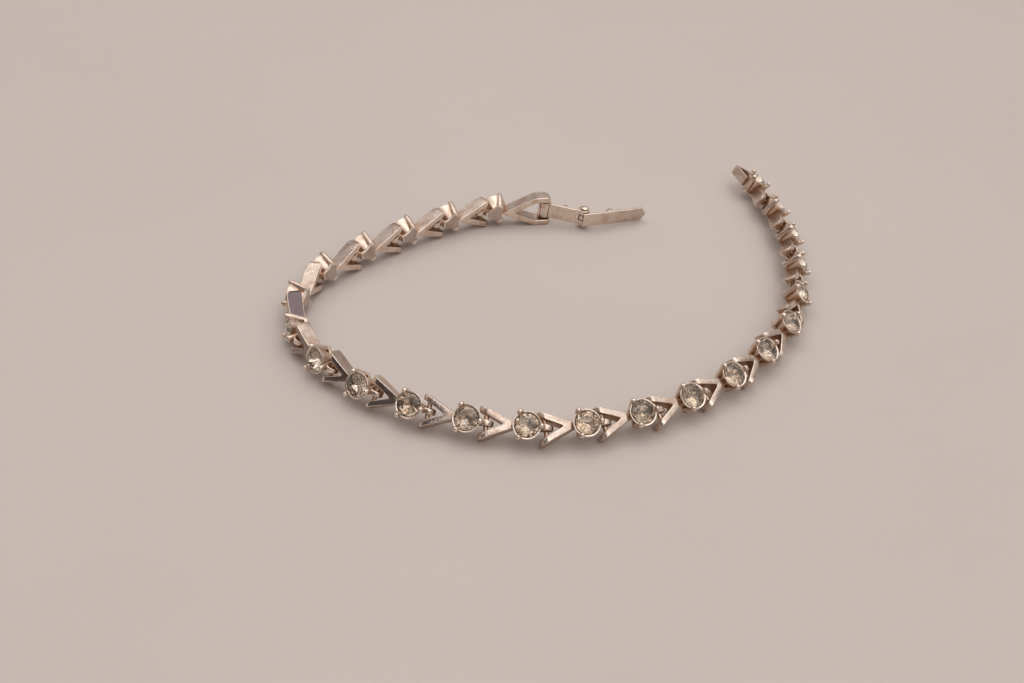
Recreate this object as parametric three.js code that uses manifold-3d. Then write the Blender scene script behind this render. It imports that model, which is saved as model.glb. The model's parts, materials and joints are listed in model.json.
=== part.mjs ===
// A line bracelet lying open on a table: cup-set round stones on chevron links, each hooked round the
// cross pin of the link before it, with a fold-over clasp on one end and its catch on the other.
// Millimetres, +Z up. The origin is the middle of the bracelet's box, on the table.
//
// A link's own frame: x runs along the chain towards the clasp, y points out through the stone,
// z runs across the link, and the origin is on the stone's axis, level with the hinge pins.
import * as THREE from "three";
import { mergeVertices } from "three/addons/utils/BufferGeometryUtils.js";
import { ConvexGeometry } from "three/addons/geometries/ConvexGeometry.js";
import Module from "manifold-3d";

const wasm = await Module();
wasm.setup();

// Stone.
const STONE_DIAMETER = 3.0;
const STONE_TABLE_DIAMETER = 1.7;
const STONE_CROWN = 0.45;
const STONE_PAVILION = 1.15;
const STONE_FACETS = 8;
const GIRDLE_LEVEL = 1.2;

// Cup round the stone, and the three prongs that hold it.
const SEAT_CLEARANCE = 0.06;
const CUP_WALL = 0.24;
const CUP_BACK_RADIUS = 0.85;
const CUP_RIM_ABOVE_GIRDLE = 0.08;
const CUP_SIDES = 12;
const BACK_DEPTH = 1.2;
const PRONG_WIDTH = 0.85;
const PRONG_BACK_RADIUS = 1.5;
const PRONG_THICKNESS = 0.42;
const PRONG_RISE = 0.75;
const PRONG_GRIP = 0.1;
const PRONG_ANGLES = [60, 180, 300];

// Eye on the back of a link, round the pin of the link before it.
const PIN_RADIUS = 0.3;
const PIN_SIDES = 6;
const PIN_CLEARANCE = 0.3;
const EYE_WALL = 0.35;
const EYE_WIDTH = 0.68;
const EYE_SIDE_CLEARANCE = 0.26;
const EYE_TO_CUP = 0.55;
const EYE_SIDES = 12;

// Chevron.
const CHEVRON_HALF_ANGLE = 24.5;
const ARM_WIDTH = 0.87;
const APEX_WEB = 0.98;
const CHEVRON_FRONT = 0.88;
const CHEVRON_APEX_DROP = 0.4;
const ARM_END_OVERHANG = 0.92;
const ARM_END_ROUNDING = 1.0;
const ARM_BACK_CHAMFER = 0.35;
const PIN_IN_ARM = 0.25;

// End link, whose arms turn parallel and carry the clasp.
const END_PIN_REACH = 7.6;
const END_ARM_OVERHANG = 0.7;

// Catch on the first link: a U of flat strip soldered beside the cup.
const CATCH_WALL = 0.5;
const CATCH_DEPTH = 1.5;
const CATCH_SLOT = 1.9;
const CATCH_BACK_LEVEL = -0.8;
const CATCH_OVERLAP = 0.08;

// Fold-over clasp: a base plate on the end link's pin, and an arm hinged to the base.
const PLATE_HEIGHT = 2.5;
const PLATE_THICKNESS = 0.4;
const BARREL_WALL = 0.35;
const BARREL_END_CLEARANCE = 0.25;
const BASE_LENGTH = 6.0;
const BASE_SETBACK = 0.35;
const KNUCKLE_RADIUS = 0.85;
const KNUCKLE_GAP = 0.12;
const KNUCKLE_SIDES = 12;
const HINGE_PIN_RADIUS = 0.3;
const HINGE_PIN_CLEARANCE = 0.15;
const HINGE_PIN_HEAD_RADIUS = 0.6;
const HINGE_PIN_HEAD = 0.25;
const HINGE_PIN_HEAD_GAP = 0.1;
const CLASP_ARM_LENGTH = 8.9;
const CLASP_ARM_HEIGHT = 2.2;
const CLASP_ARM_BEFORE_HINGE = 0.55;
const TONGUE_LENGTH = 0.9;
const TONGUE_WIDTH = 0.9;
const STUD_RADIUS = 0.5;
const STUD_HEIGHT = 1.15;
const STUD_RAISE = 0.4;
const BASE_STUD_FROM_HINGE = 2.9;
const ARM_STUD_FROM_HINGE = 4.2;
const STUD_SIDES = 10;
const CLASP_TURN = -21;
const CLASP_DROOP = 4.4;
const ARM_OPEN = 32;

// The chain's route, link by link from the catch to the clasp: the direction it runs in, seen from
// above, and how far its stone leans back from facing sideways. Degrees.
const ROUTE = [
  { heading: -70, lean: 56 },
  { heading: -77, lean: 47 },
  { heading: -86, lean: 39 },
  { heading: -93, lean: 36 },
  { heading: -102, lean: 42 },
  { heading: -118, lean: 51 },
  { heading: -128, lean: 56 },
  { heading: -137, lean: 56 },
  { heading: -146, lean: 56 },
  { heading: -157, lean: 56 },
  { heading: -167, lean: 55 },
  { heading: -182, lean: 51 },
  { heading: -192, lean: 46 },
  { heading: -203, lean: 39 },
  { heading: -215, lean: 29 },
  { heading: -228, lean: 18 },
  { heading: -253, lean: 7 },
  { heading: -284, lean: -2 },
  { heading: -309, lean: -4 },
  { heading: -317, lean: -1 },
  { heading: -321, lean: 1 },
  { heading: -329, lean: 1 },
  { heading: -348, lean: 0 },
];

const silver = new THREE.MeshStandardMaterial({ color: 0xc9b6aa, roughness: 0.28, metalness: 1 });
const crystal = new THREE.MeshStandardMaterial({ color: 0xe6e2d2, roughness: 0.05, metalness: 0 });

// Sizes that follow from the ones above.
const stoneRadius = STONE_DIAMETER / 2;
const seatRadius = stoneRadius + SEAT_CLEARANCE;
const cupRadius = seatRadius + CUP_WALL;
const rimLevel = GIRDLE_LEVEL + CUP_RIM_ABOVE_GIRDLE;
const backLevel = -BACK_DEPTH;
const prongRadius = cupRadius + PRONG_THICKNESS;
const prongTop = rimLevel + PRONG_RISE;
const eyeHole = PIN_RADIUS + PIN_CLEARANCE;
const eyeRadius = eyeHole + EYE_WALL;
const eyeReach = cupRadius + EYE_TO_CUP;
const slope = Math.tan(THREE.MathUtils.degToRad(CHEVRON_HALF_ANGLE));
const armAcross = ARM_WIDTH / Math.cos(THREE.MathUtils.degToRad(CHEVRON_HALF_ANGLE));
const innerCorner = cupRadius + APEX_WEB;
const outerCorner = innerCorner - armAcross / slope;
const pinReach = innerCorner + (EYE_WIDTH / 2 + EYE_SIDE_CLEARANCE) / slope + eyeRadius;
const pitch = eyeReach + pinReach;
const barrelHole = PIN_RADIUS + PIN_CLEARANCE;
const barrelRadius = barrelHole + BARREL_WALL;
const endArmInner = PLATE_HEIGHT / 2 + BARREL_END_CLEARANCE;
const hingeHole = HINGE_PIN_RADIUS + HINGE_PIN_CLEARANCE;
const knuckleWidth = PLATE_HEIGHT / 3 - KNUCKLE_GAP;
const armSetback = KNUCKLE_RADIUS + KNUCKLE_GAP;

// Turns a closed three.js geometry into a solid.
function solidOf(geometry) {
  const bare = geometry.clone();
  bare.deleteAttribute("normal");
  bare.deleteAttribute("uv");
  const merged = mergeVertices(bare, 1e-4);
  const corners = merged.index.array;
  const kept = [];
  for (let i = 0; i < corners.length; i += 3) {
    const [a, b, c] = [corners[i], corners[i + 1], corners[i + 2]];
    if (a !== b && b !== c && c !== a) kept.push(a, b, c);
  }
  const vertProperties = merged.attributes.position.array;
  return new wasm.Manifold(new wasm.Mesh({ numProp: 3, vertProperties, triVerts: new Uint32Array(kept) }));
}

// Turns a solid back into a geometry for a mesh.
function geometryOf(solid) {
  const mesh = solid.getMesh();
  const geometry = new THREE.BufferGeometry();
  geometry.setAttribute("position", new THREE.BufferAttribute(new Float32Array(mesh.vertProperties), 3));
  geometry.setIndex(new THREE.BufferAttribute(new Uint32Array(mesh.triVerts), 1));
  return geometry;
}

// A closed outline from [x, y] corners.
function outline(corners) {
  return new THREE.Shape(corners.map(([x, y]) => new THREE.Vector2(x, y)));
}

// A prism whose outline is drawn in x and z, between two levels of y.
function planPrism(shape, low, high) {
  const geometry = new THREE.ExtrudeGeometry(shape, { depth: high - low, bevelEnabled: false });
  geometry.rotateX(-Math.PI / 2);
  geometry.translate(0, low, 0);
  return solidOf(geometry);
}

// A prism whose outline is drawn in x and y, of the given width about z = middle.
function sidePrism(shape, width, middle = 0) {
  const geometry = new THREE.ExtrudeGeometry(shape, { depth: width, bevelEnabled: false });
  geometry.translate(0, 0, middle - width / 2);
  return solidOf(geometry);
}

// A round bar along z at (x, y), of the given width about z = middle.
function bar(x, y, radius, width, sides, middle = 0) {
  const geometry = new THREE.CylinderGeometry(radius, radius, width, sides);
  geometry.rotateX(Math.PI / 2);
  geometry.translate(x, y, middle);
  return solidOf(geometry);
}

// The points of an arc about (x, y), from one angle to another in degrees.
function arc(x, y, radius, from, to, steps) {
  const points = [];
  for (let i = 0; i <= steps; i += 1) {
    const angle = THREE.MathUtils.degToRad(from + ((to - from) * i) / steps);
    points.push([x + radius * Math.cos(angle), y + radius * Math.sin(angle)]);
  }
  return points;
}

// A round brilliant: an eight-sided table, a girdle of twice as many corners, and a point.
function stoneGeometry() {
  const points = [new THREE.Vector3(0, GIRDLE_LEVEL - STONE_PAVILION, 0)];
  const ring = (radius, level, count) => {
    for (const [x, z] of arc(0, 0, radius, 0, 360 - 360 / count, count - 1)) {
      points.push(new THREE.Vector3(x, level, z));
    }
  };
  ring(STONE_TABLE_DIAMETER / 2, GIRDLE_LEVEL + STONE_CROWN, STONE_FACETS);
  ring(stoneRadius, GIRDLE_LEVEL, 2 * STONE_FACETS);
  return new ConvexGeometry(points);
}

// The cup: a flaring wall with a flat back and a conical seat for the stone.
function cup() {
  const seatFloor = GIRDLE_LEVEL - STONE_PAVILION - SEAT_CLEARANCE;
  const profile = [
    [0, backLevel],
    [CUP_BACK_RADIUS, backLevel],
    [cupRadius, rimLevel],
    [seatRadius, rimLevel],
    [seatRadius, GIRDLE_LEVEL - SEAT_CLEARANCE],
    [0, seatFloor - SEAT_CLEARANCE],
  ];
  return solidOf(new THREE.LatheGeometry(profile.map(([x, y]) => new THREE.Vector2(x, y)), CUP_SIDES));
}

// One prong: a rib up the cup's wall whose rounded tip leans over the stone's edge.
function prong(angle) {
  const tip = PRONG_THICKNESS;
  const gripRadius = stoneRadius - PRONG_GRIP;
  const gripLevel = rimLevel + SEAT_CLEARANCE;
  const rib = sidePrism(
    outline([
      [CUP_BACK_RADIUS / 2, backLevel],
      [PRONG_BACK_RADIUS, backLevel],
      [prongRadius, rimLevel - tip],
      [prongRadius + tip / 4, prongTop - tip],
      [prongRadius - tip / 3, prongTop],
      [gripRadius + tip / 2, prongTop],
      [gripRadius, prongTop - tip / 2],
      [gripRadius, gripLevel],
      [seatRadius + CUP_WALL / 2, rimLevel - tip / 4],
      [CUP_BACK_RADIUS / 2, backLevel + PRONG_THICKNESS / 2],
    ]),
    PRONG_WIDTH,
  );
  return rib.rotate([0, angle, 0]);
}

// The radius of the cup's outside at a level, and the radius its flat sides reach there.
function cupRadiusAt(level) {
  const share = (level - backLevel) / (rimLevel - backLevel);
  const corner = CUP_BACK_RADIUS + share * (cupRadius - CUP_BACK_RADIUS);
  return corner * Math.cos(Math.PI / CUP_SIDES);
}

// The two arms of a chevron, drawn as one outline open at the clasp side. Where they stand the flat
// distance from the middle they turn parallel, which only the end link's arms do.
function chevronOutline(end, flat) {
  const inner = (x) => Math.min((x - innerCorner) * slope, flat);
  const outer = (x) => Math.min((x - innerCorner) * slope + armAcross, flat + ARM_WIDTH);
  const innerBend = innerCorner + flat / slope;
  const outerBend = innerBend - (armAcross - ARM_WIDTH) / slope;
  const stations = (bend) => (bend < end ? [bend, end] : [end]);
  const half = [
    ...stations(outerBend).map((x) => [x, outer(x)]),
    ...stations(innerBend).reverse().map((x) => [x, inner(x)]),
  ];
  const otherHalf = [...half].reverse().map(([x, z]) => [x, -z]);
  return outline([[outerCorner, 0], ...half, [innerCorner, 0], ...otherHalf]);
}

// The chevron's side view: a straight back, an arched front and rounded open ends.
function chevronSide(end) {
  const turn = ARM_END_ROUNDING;
  return outline([
    [0, backLevel],
    [end - ARM_BACK_CHAMFER, backLevel],
    [end, backLevel + ARM_BACK_CHAMFER],
    ...arc(end - turn, CHEVRON_FRONT - turn, turn, 0, 75, 3),
    [(innerCorner + end) / 2, CHEVRON_FRONT],
    [cupRadius, CHEVRON_FRONT - CHEVRON_APEX_DROP / 2],
    [0, CHEVRON_FRONT - CHEVRON_APEX_DROP],
  ]);
}

// The chevron with its cross pin.
function chevron(pinAt, overhang, flat) {
  const end = pinAt + overhang;
  const innerAtPin = Math.min((pinAt - innerCorner) * slope, flat);
  const outerAtEnd = (end - innerCorner) * slope + armAcross;
  const arms = planPrism(chevronOutline(end, flat), backLevel, CHEVRON_FRONT);
  const pin = bar(pinAt, 0, PIN_RADIUS, 2 * (innerAtPin + PIN_IN_ARM), PIN_SIDES);
  return arms.intersect(sidePrism(chevronSide(end), 3 * outerAtEnd)).add(pin);
}

// The eye that hangs on the pin of the link before, with its neck into the cup.
function eye() {
  const neckTop = eyeHole + EYE_WALL / 4;
  const shape = outline([
    [-CUP_BACK_RADIUS, -eyeRadius],
    [-CUP_BACK_RADIUS, neckTop],
    [-eyeReach + eyeRadius / 2, neckTop],
    ...arc(-eyeReach, 0, eyeRadius, 60, 270, EYE_SIDES / 2 + 1),
  ]);
  return sidePrism(shape, EYE_WIDTH);
}

// The catch: a U of strip whose ends run beside the cup, with a slot for the clasp's arm.
function catchLoop() {
  const top = CATCH_BACK_LEVEL + CATCH_DEPTH;
  const inner = cupRadiusAt(top) - CATCH_OVERLAP;
  const outer = inner + CATCH_WALL;
  const barAt = -(cupRadius + CATCH_SLOT);
  const shape = outline([
    [barAt - CATCH_WALL, -outer],
    [CUP_BACK_RADIUS, -outer],
    [CUP_BACK_RADIUS, -inner],
    [barAt, -inner],
    [barAt, inner],
    [CUP_BACK_RADIUS, inner],
    [CUP_BACK_RADIUS, outer],
    [barAt - CATCH_WALL, outer],
  ]);
  const strip = planPrism(shape, CATCH_BACK_LEVEL, top);
  const bore = new THREE.CylinderGeometry(CUP_BACK_RADIUS, CUP_BACK_RADIUS, CATCH_DEPTH, CUP_SIDES);
  return strip.subtract(solidOf(bore.translate(0, CATCH_BACK_LEVEL, 0)));
}

// One link's casting: the cup and its prongs, the chevron, and the eye or the catch.
function linkGeometry(isFirst, isLast) {
  const front = isLast
    ? chevron(END_PIN_REACH, END_ARM_OVERHANG, endArmInner)
    : chevron(pinReach, ARM_END_OVERHANG, Infinity);
  let body = cup().add(front).add(isFirst ? catchLoop() : eye());
  for (const angle of PRONG_ANGLES) body = body.add(prong(angle));
  if (!isFirst) body = body.subtract(bar(-eyeReach, 0, eyeHole, 2 * cupRadius, EYE_SIDES));
  return geometryOf(body);
}

// A knuckle of a hinge about the origin, solid, over a stretch of z, or the room that it turns in.
function knuckle(width, middle, room = 0) {
  return bar(0, 0, KNUCKLE_RADIUS + room, width, KNUCKLE_SIDES, middle);
}

// A snap stud that stands out along y at x, from inside a plate whose face is at the given level.
function snapStud(x, face) {
  const round = outline(arc(0, 0, STUD_RADIUS, 0, 360 - 360 / STUD_SIDES, STUD_SIDES - 1));
  return planPrism(round, face - PLATE_THICKNESS / 2, face + STUD_HEIGHT).translate([x, 0, STUD_RAISE]);
}

// The clasp's base: a barrel round the end link's pin, a plate with a snap stud, and two knuckles.
// Its origin is on the barrel's axis, and the hinge is at BASE_LENGTH along x.
function claspBaseGeometry() {
  const plateFace = -BASE_SETBACK;
  const plate = sidePrism(
    outline([
      [0, plateFace - PLATE_THICKNESS],
      [BASE_LENGTH, plateFace - PLATE_THICKNESS],
      [BASE_LENGTH, plateFace],
      [0, plateFace],
    ]),
    PLATE_HEIGHT,
  );
  const middleCut = knuckle(knuckleWidth + 2 * KNUCKLE_GAP, 0, KNUCKLE_GAP).translate([BASE_LENGTH, 0, 0]);
  const endKnuckle = (PLATE_HEIGHT - knuckleWidth) / 2 - KNUCKLE_GAP;
  const endMiddle = (PLATE_HEIGHT - endKnuckle) / 2;
  const body = bar(0, 0, barrelRadius, PLATE_HEIGHT, KNUCKLE_SIDES)
    .add(plate)
    .add(snapStud(BASE_LENGTH - BASE_STUD_FROM_HINGE, plateFace))
    .add(knuckle(endKnuckle, endMiddle).translate([BASE_LENGTH, 0, 0]))
    .add(knuckle(endKnuckle, -endMiddle).translate([BASE_LENGTH, 0, 0]));
  return geometryOf(
    body
      .subtract(middleCut)
      .subtract(bar(0, 0, barrelHole, 2 * PLATE_HEIGHT, EYE_SIDES))
      .subtract(bar(BASE_LENGTH, 0, hingeHole, 2 * PLATE_HEIGHT, KNUCKLE_SIDES)),
  );
}

// The clasp's arm: the middle knuckle, a plate with a snap stud, and a rounded tongue. Its origin is
// on the hinge's axis.
function claspArmGeometry() {
  const half = CLASP_ARM_HEIGHT / 2;
  const tongueHalf = TONGUE_WIDTH / 2;
  const shoulder = CLASP_ARM_LENGTH + TONGUE_LENGTH / 2;
  const tip = CLASP_ARM_LENGTH + TONGUE_LENGTH;
  const shape = outline([
    [-CLASP_ARM_BEFORE_HINGE, -half],
    [CLASP_ARM_LENGTH, -half],
    [shoulder, -(half + tongueHalf) / 2],
    [tip, -tongueHalf],
    [tip, tongueHalf],
    [shoulder, (half + tongueHalf) / 2],
    [CLASP_ARM_LENGTH, half],
    [-CLASP_ARM_BEFORE_HINGE, half],
  ]);
  const face = -armSetback;
  const plate = planPrism(shape, face - PLATE_THICKNESS, face);
  const neck = sidePrism(
    outline([
      [-CLASP_ARM_BEFORE_HINGE, face - PLATE_THICKNESS / 2],
      [KNUCKLE_RADIUS, face - PLATE_THICKNESS / 2],
      [KNUCKLE_RADIUS, 0],
      [0, 0],
    ]),
    knuckleWidth,
  );
  const body = knuckle(knuckleWidth, 0).add(plate).add(neck);
  return geometryOf(
    body
      .add(snapStud(ARM_STUD_FROM_HINGE, face))
      .subtract(bar(0, 0, hingeHole, PLATE_HEIGHT, KNUCKLE_SIDES)),
  );
}

// The hinge pin, riveted over at both ends.
function hingePinGeometry() {
  const shank = PLATE_HEIGHT / 2 + HINGE_PIN_HEAD_GAP;
  const profile = [
    [0, -shank - HINGE_PIN_HEAD],
    [HINGE_PIN_HEAD_RADIUS, -shank - HINGE_PIN_HEAD / 2],
    [HINGE_PIN_HEAD_RADIUS, -shank],
    [HINGE_PIN_RADIUS, -shank],
    [HINGE_PIN_RADIUS, shank],
    [HINGE_PIN_HEAD_RADIUS, shank],
    [HINGE_PIN_HEAD_RADIUS, shank + HINGE_PIN_HEAD / 2],
    [0, shank + HINGE_PIN_HEAD],
  ];
  const points = profile.map(([x, y]) => new THREE.Vector2(x, y));
  const geometry = new THREE.LatheGeometry(points, EYE_SIDES).rotateX(Math.PI / 2);
  return geometryOf(solidOf(geometry));
}

// A named mesh of one piece.
function piece(name, geometry, material) {
  const mesh = new THREE.Mesh(geometry, material);
  mesh.name = name;
  return mesh;
}

// How far above the table a link's pin stands when the leaning link's lowest corner touches it.
function standing(geometry, lean) {
  const corners = geometry.getAttribute("position");
  let lowest = 0;
  for (let i = 0; i < corners.count; i += 1) {
    const height = corners.getY(i) * Math.sin(lean) + corners.getZ(i) * Math.cos(lean);
    lowest = Math.min(lowest, height);
  }
  return -lowest;
}

// The chain: each link turned to its heading, leant back and stood on the table, with its eye on the
// pin of the link before it.
const bracelet = new THREE.Group();
const stone = stoneGeometry();
const hinge = new THREE.Vector2(0, 0);
let lastLink = null;
ROUTE.forEach(({ heading, lean }, index) => {
  const isLast = index === ROUTE.length - 1;
  const number = String(index + 1).padStart(2, "0");
  const geometry = linkGeometry(index === 0, isLast);
  const turn = THREE.MathUtils.degToRad(heading);
  const tilt = THREE.MathUtils.degToRad(lean);
  const along = new THREE.Vector2(Math.cos(turn), Math.sin(turn));
  const axis = hinge.clone().addScaledVector(along, eyeReach);
  const link = new THREE.Group();
  link.position.set(axis.x, axis.y, standing(geometry, tilt));
  link.rotation.set(tilt, 0, turn, "ZXY");
  link.add(piece("link_" + number, geometry, silver), piece("stone_" + number, stone, crystal));
  bracelet.add(link);
  hinge.addScaledVector(along, pitch);
  lastLink = link;
});

// The clasp hangs on the end link's pin, and lies open.
const clasp = new THREE.Group();
clasp.position.set(END_PIN_REACH, 0, 0);
clasp.rotation.set(0, THREE.MathUtils.degToRad(CLASP_DROOP), THREE.MathUtils.degToRad(CLASP_TURN), "ZYX");
const hingeFrame = new THREE.Group();
hingeFrame.position.set(BASE_LENGTH, 0, 0);
const armFrame = new THREE.Group();
armFrame.rotation.set(0, 0, THREE.MathUtils.degToRad(ARM_OPEN));
armFrame.add(piece("clasp_arm", claspArmGeometry(), silver));
hingeFrame.add(armFrame, piece("hinge_pin", hingePinGeometry(), silver));
clasp.add(hingeFrame, piece("clasp_base", claspBaseGeometry(), silver));
lastLink.add(clasp);

// The origin goes to the middle of the bracelet's box, on the table.
const box = new THREE.Box3().setFromObject(bracelet, true);
const middle = box.getCenter(new THREE.Vector3());
bracelet.position.set(-middle.x, -middle.y, -box.min.z);

export default bracelet;
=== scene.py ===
"""The looks of a line bracelet lying open on a pale table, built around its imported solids.

Sizes are in millimetres in the frame of the sub-assembly they belong to, and a Placement turns them into
metres in the bracelet's frame. A link's frame has x along the chain towards the clasp, y out through the
stone and z across the link, with its origin on the stone's axis, level with the hinge pins.
"""
import json
import logging
import math
from dataclasses import dataclass, field, replace
from enum import Enum

import bpy
import numpy as np
from mathutils import Matrix


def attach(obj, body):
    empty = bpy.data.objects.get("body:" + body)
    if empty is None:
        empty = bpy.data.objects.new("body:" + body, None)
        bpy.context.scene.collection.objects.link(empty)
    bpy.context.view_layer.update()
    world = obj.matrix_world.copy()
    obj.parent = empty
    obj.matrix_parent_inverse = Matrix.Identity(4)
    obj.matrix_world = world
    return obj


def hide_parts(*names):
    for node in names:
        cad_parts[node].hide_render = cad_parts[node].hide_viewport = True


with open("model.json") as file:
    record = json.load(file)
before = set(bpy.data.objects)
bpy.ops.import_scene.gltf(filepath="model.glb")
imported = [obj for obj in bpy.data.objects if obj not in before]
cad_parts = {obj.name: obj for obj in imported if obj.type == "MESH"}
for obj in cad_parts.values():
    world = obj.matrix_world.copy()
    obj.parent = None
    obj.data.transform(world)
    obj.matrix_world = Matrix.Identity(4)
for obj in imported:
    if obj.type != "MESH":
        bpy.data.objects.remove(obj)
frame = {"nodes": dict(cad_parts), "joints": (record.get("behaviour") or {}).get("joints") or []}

MM = 0.001
LINK_COUNT = 23
STONE_RADIUS = 1.5
GIRDLE_LEVEL = 1.2
BACK_LEVEL = -1.2
PIN_RADIUS = 0.3
PIN_CLEARANCE = 0.3
RING_WALL = 0.35
POLISH = "polish"
# Attribute of stain and of painted dark reflection, both darkening toward grey.
STAIN_AND_DARK_REFLECTION = "stain_and_dark_reflection"
# Attribute of the painted shade on each facet of a stone's foil.
PAINTED_SHADE = "painted_shade"
THIN_SHARE = 0.96
SHARP_DEGREES = 40
SHADE_SEED = 700
FOIL_TINT = (1.0, 0.90, 0.79)
log = logging.getLogger("bracelet")


class Body(Enum):
    """The bodies that pieces ride on."""

    STRAND = "strand"
    CLASP_ARM = "clasp_arm"


class Slot(Enum):
    """The record's material slots."""

    SILVER = "silver"
    CRYSTAL = "crystal"


class LinkKind(Enum):
    """Where a link stands in the chain, which decides what its two ends carry."""

    CATCH = "catch"
    MIDDLE = "middle"
    END = "end"


@dataclass(frozen=True)
class Surface:
    """A closed skin in its part's own frame.

    Attributes:
        points: Corner positions in millimetres, one row each.
        faces: Corner numbers of each face.
        material: Which of the piece's materials each face takes.
        stain_and_dark_reflection: How stained each point is, or all of them; it also carries the dark
            reflection painted on some faces.
    """

    points: np.ndarray
    faces: list[list[int]]
    material: np.ndarray
    stain_and_dark_reflection: float | np.ndarray = 0.0

    def outward(self) -> "Surface":
        """The same skin with its faces pointing out, judged by the sign of the volume they enclose.

        Returns:
            The skin, with its faces turned about where they pointed in.
        """
        fans = [(f[0], f[i], f[i + 1]) for f in self.faces for i in range(1, len(f) - 1)]
        a, b, c = (self.points[np.array(fans)[:, k]] for k in range(3))
        if np.einsum("ij,ij->i", a, np.cross(b, c)).sum() >= 0:
            return self
        return replace(self, faces=[f[::-1] for f in self.faces])


@dataclass(frozen=True)
class Placement:
    """Where a part's own frame stands in the bracelet's frame.

    Attributes:
        origin: The part's origin, in metres.
        axes: The part's x, y and z directions, one row each.
    """

    origin: np.ndarray
    axes: np.ndarray

    def put(self, points: np.ndarray) -> np.ndarray:
        """Points of the part, in millimetres, as metres in the bracelet's frame."""
        return self.origin + (points * MM) @ self.axes

    def moved(self, x: float) -> "Placement":
        """The same frame with its origin moved along its own x, in millimetres."""
        return Placement(self.put(np.array([x, 0.0, 0.0])), self.axes)

    def turned(self, degrees: float) -> "Placement":
        """The same frame turned about its own z."""
        c, s = math.cos(math.radians(degrees)), math.sin(math.radians(degrees))
        return Placement(self.origin, np.array([[c, s, 0], [-s, c, 0], [0, 0, 1]]) @ self.axes)


def skin(rings: np.ndarray, closed: bool = False) -> Surface:
    """Faces between rings of points, each ring joined to the next and closed on itself.

    Args:
        rings: Points as an array of rings by points by three.
        closed: Whether the last ring joins the first. Otherwise the end rings are filled with a face each.

    Returns:
        The closed skin, facing out.
    """
    count, around = rings.shape[:2]
    row = np.arange(count if closed else count - 1)[:, None]
    column = np.arange(around)[None, :]
    next_row, next_column = (row + 1) % count, (column + 1) % around
    corners = [row * around + column, row * around + next_column,
               next_row * around + next_column, next_row * around + column]
    faces = np.stack(corners, axis=-1).reshape(-1, 4).tolist()
    if not closed:
        faces.append(list(range(around))[::-1])
        faces.append(list(range((count - 1) * around, count * around)))
    return Surface(rings.reshape(-1, 3), faces, np.zeros(len(faces), int)).outward()


def rounded_section(half_a: np.ndarray, half_b: np.ndarray, edge: float, steps: int = 4) -> tuple:
    """Rectangles with round corners: each corner's centre plus a quarter of a circle about it.

    Args:
        half_a: Half the width of each section.
        half_b: Half the height of each section.
        edge: The corners' radius, which is at most THIN_SHARE of a thin section's half width.
        steps: Spans in each corner.

    Returns:
        The offsets along the width and along the height, each an array of sections by points.
    """
    half_a, half_b = np.atleast_1d(half_a)[:, None], np.atleast_1d(half_b)[:, None]
    radius = np.minimum(edge, THIN_SHARE * np.minimum(half_a, half_b))
    angle = (np.arange(4)[:, None] * 90 + np.linspace(0, 90, steps + 1)[None, :]).ravel()
    sign_a = np.repeat([1, -1, -1, 1], steps + 1)
    sign_b = np.repeat([1, 1, -1, -1], steps + 1)
    turn = np.radians(angle)
    return (sign_a * (half_a - radius) + radius * np.cos(turn),
            sign_b * (half_b - radius) + radius * np.sin(turn))


def revolved(profile: list[tuple[float, float]], sides: int = 48) -> Surface:
    """A profile of radius and level turned about y, whose end rings are filled with a flat face.

    Args:
        profile: Radius and level of each point, from one end to the other.
        sides: Spans round the axis.

    Returns:
        The closed skin.
    """
    radius, level = np.array(profile, float).T
    turn = np.arange(sides) * 2 * np.pi / sides
    rings = np.stack([radius[:, None] * np.cos(turn), np.repeat(level[:, None], sides, 1),
                      radius[:, None] * np.sin(turn)], axis=-1)
    return skin(rings)


def hoop(x: float, y: float, hole: float, outer: float, width: float, middle: float = 0.0,
         edge: float = 0.1, sides: int = 40) -> Surface:
    """A ring about an axis along z: a rounded rectangle carried round a circle.

    Args:
        x: The axis's place along x.
        y: The axis's place along y.
        hole: Radius of the hole.
        outer: Radius of the outside.
        width: Width along z.
        middle: Middle of the width along z.
        edge: Radius of the section's corners.
        sides: Spans round the axis.

    Returns:
        The closed skin.
    """
    deep, wide = rounded_section((outer - hole) / 2, width / 2, edge)
    radius = (hole + outer) / 2 + deep[0][None, :]
    turn = (np.arange(sides) * 2 * np.pi / sides)[:, None]
    rings = np.stack([x + radius * np.cos(turn), y + radius * np.sin(turn),
                      middle + np.repeat(wide, sides, 0)], axis=-1)
    return skin(rings, closed=True)


def plate(outline: np.ndarray, low: float, high: float, edge: float, steps: int = 4) -> Surface:
    """An outline in x and z given thickness along y, with its two rims rounded by a quarter circle.

    Args:
        outline: Corners of the outline, in order, as x and z.
        low: Level of one face.
        high: Level of the other face.
        edge: Radius of the rims.
        steps: Spans in each rim.

    Returns:
        The closed skin.
    """
    ahead = np.roll(outline, -1, 0) - outline
    ahead /= np.linalg.norm(ahead, axis=1, keepdims=True)
    behind = np.roll(ahead, 1, 0)
    out = np.stack([ahead[:, 1] + behind[:, 1], -ahead[:, 0] - behind[:, 0]], axis=1)
    out /= np.einsum("ij,ij->i", out, out)[:, None] / 2
    x, z = outline.T
    if (x * np.roll(z, -1) - z * np.roll(x, -1)).sum() < 0:
        out = -out
    quarter = np.radians(np.linspace(-90, 0, steps + 1))
    inset = np.concatenate([edge * (1 - np.cos(quarter)), edge * (1 - np.cos(quarter[::-1]))])
    level = np.concatenate([low + edge * (1 + np.sin(quarter)), high - edge * (1 + np.sin(quarter[::-1]))])
    flat = outline[None, :, :] - inset[:, None, None] * out[None, :, :]
    rings = np.stack([flat[..., 0], np.repeat(level[:, None], len(outline), 1), flat[..., 1]], axis=-1)
    return skin(rings)


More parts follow.
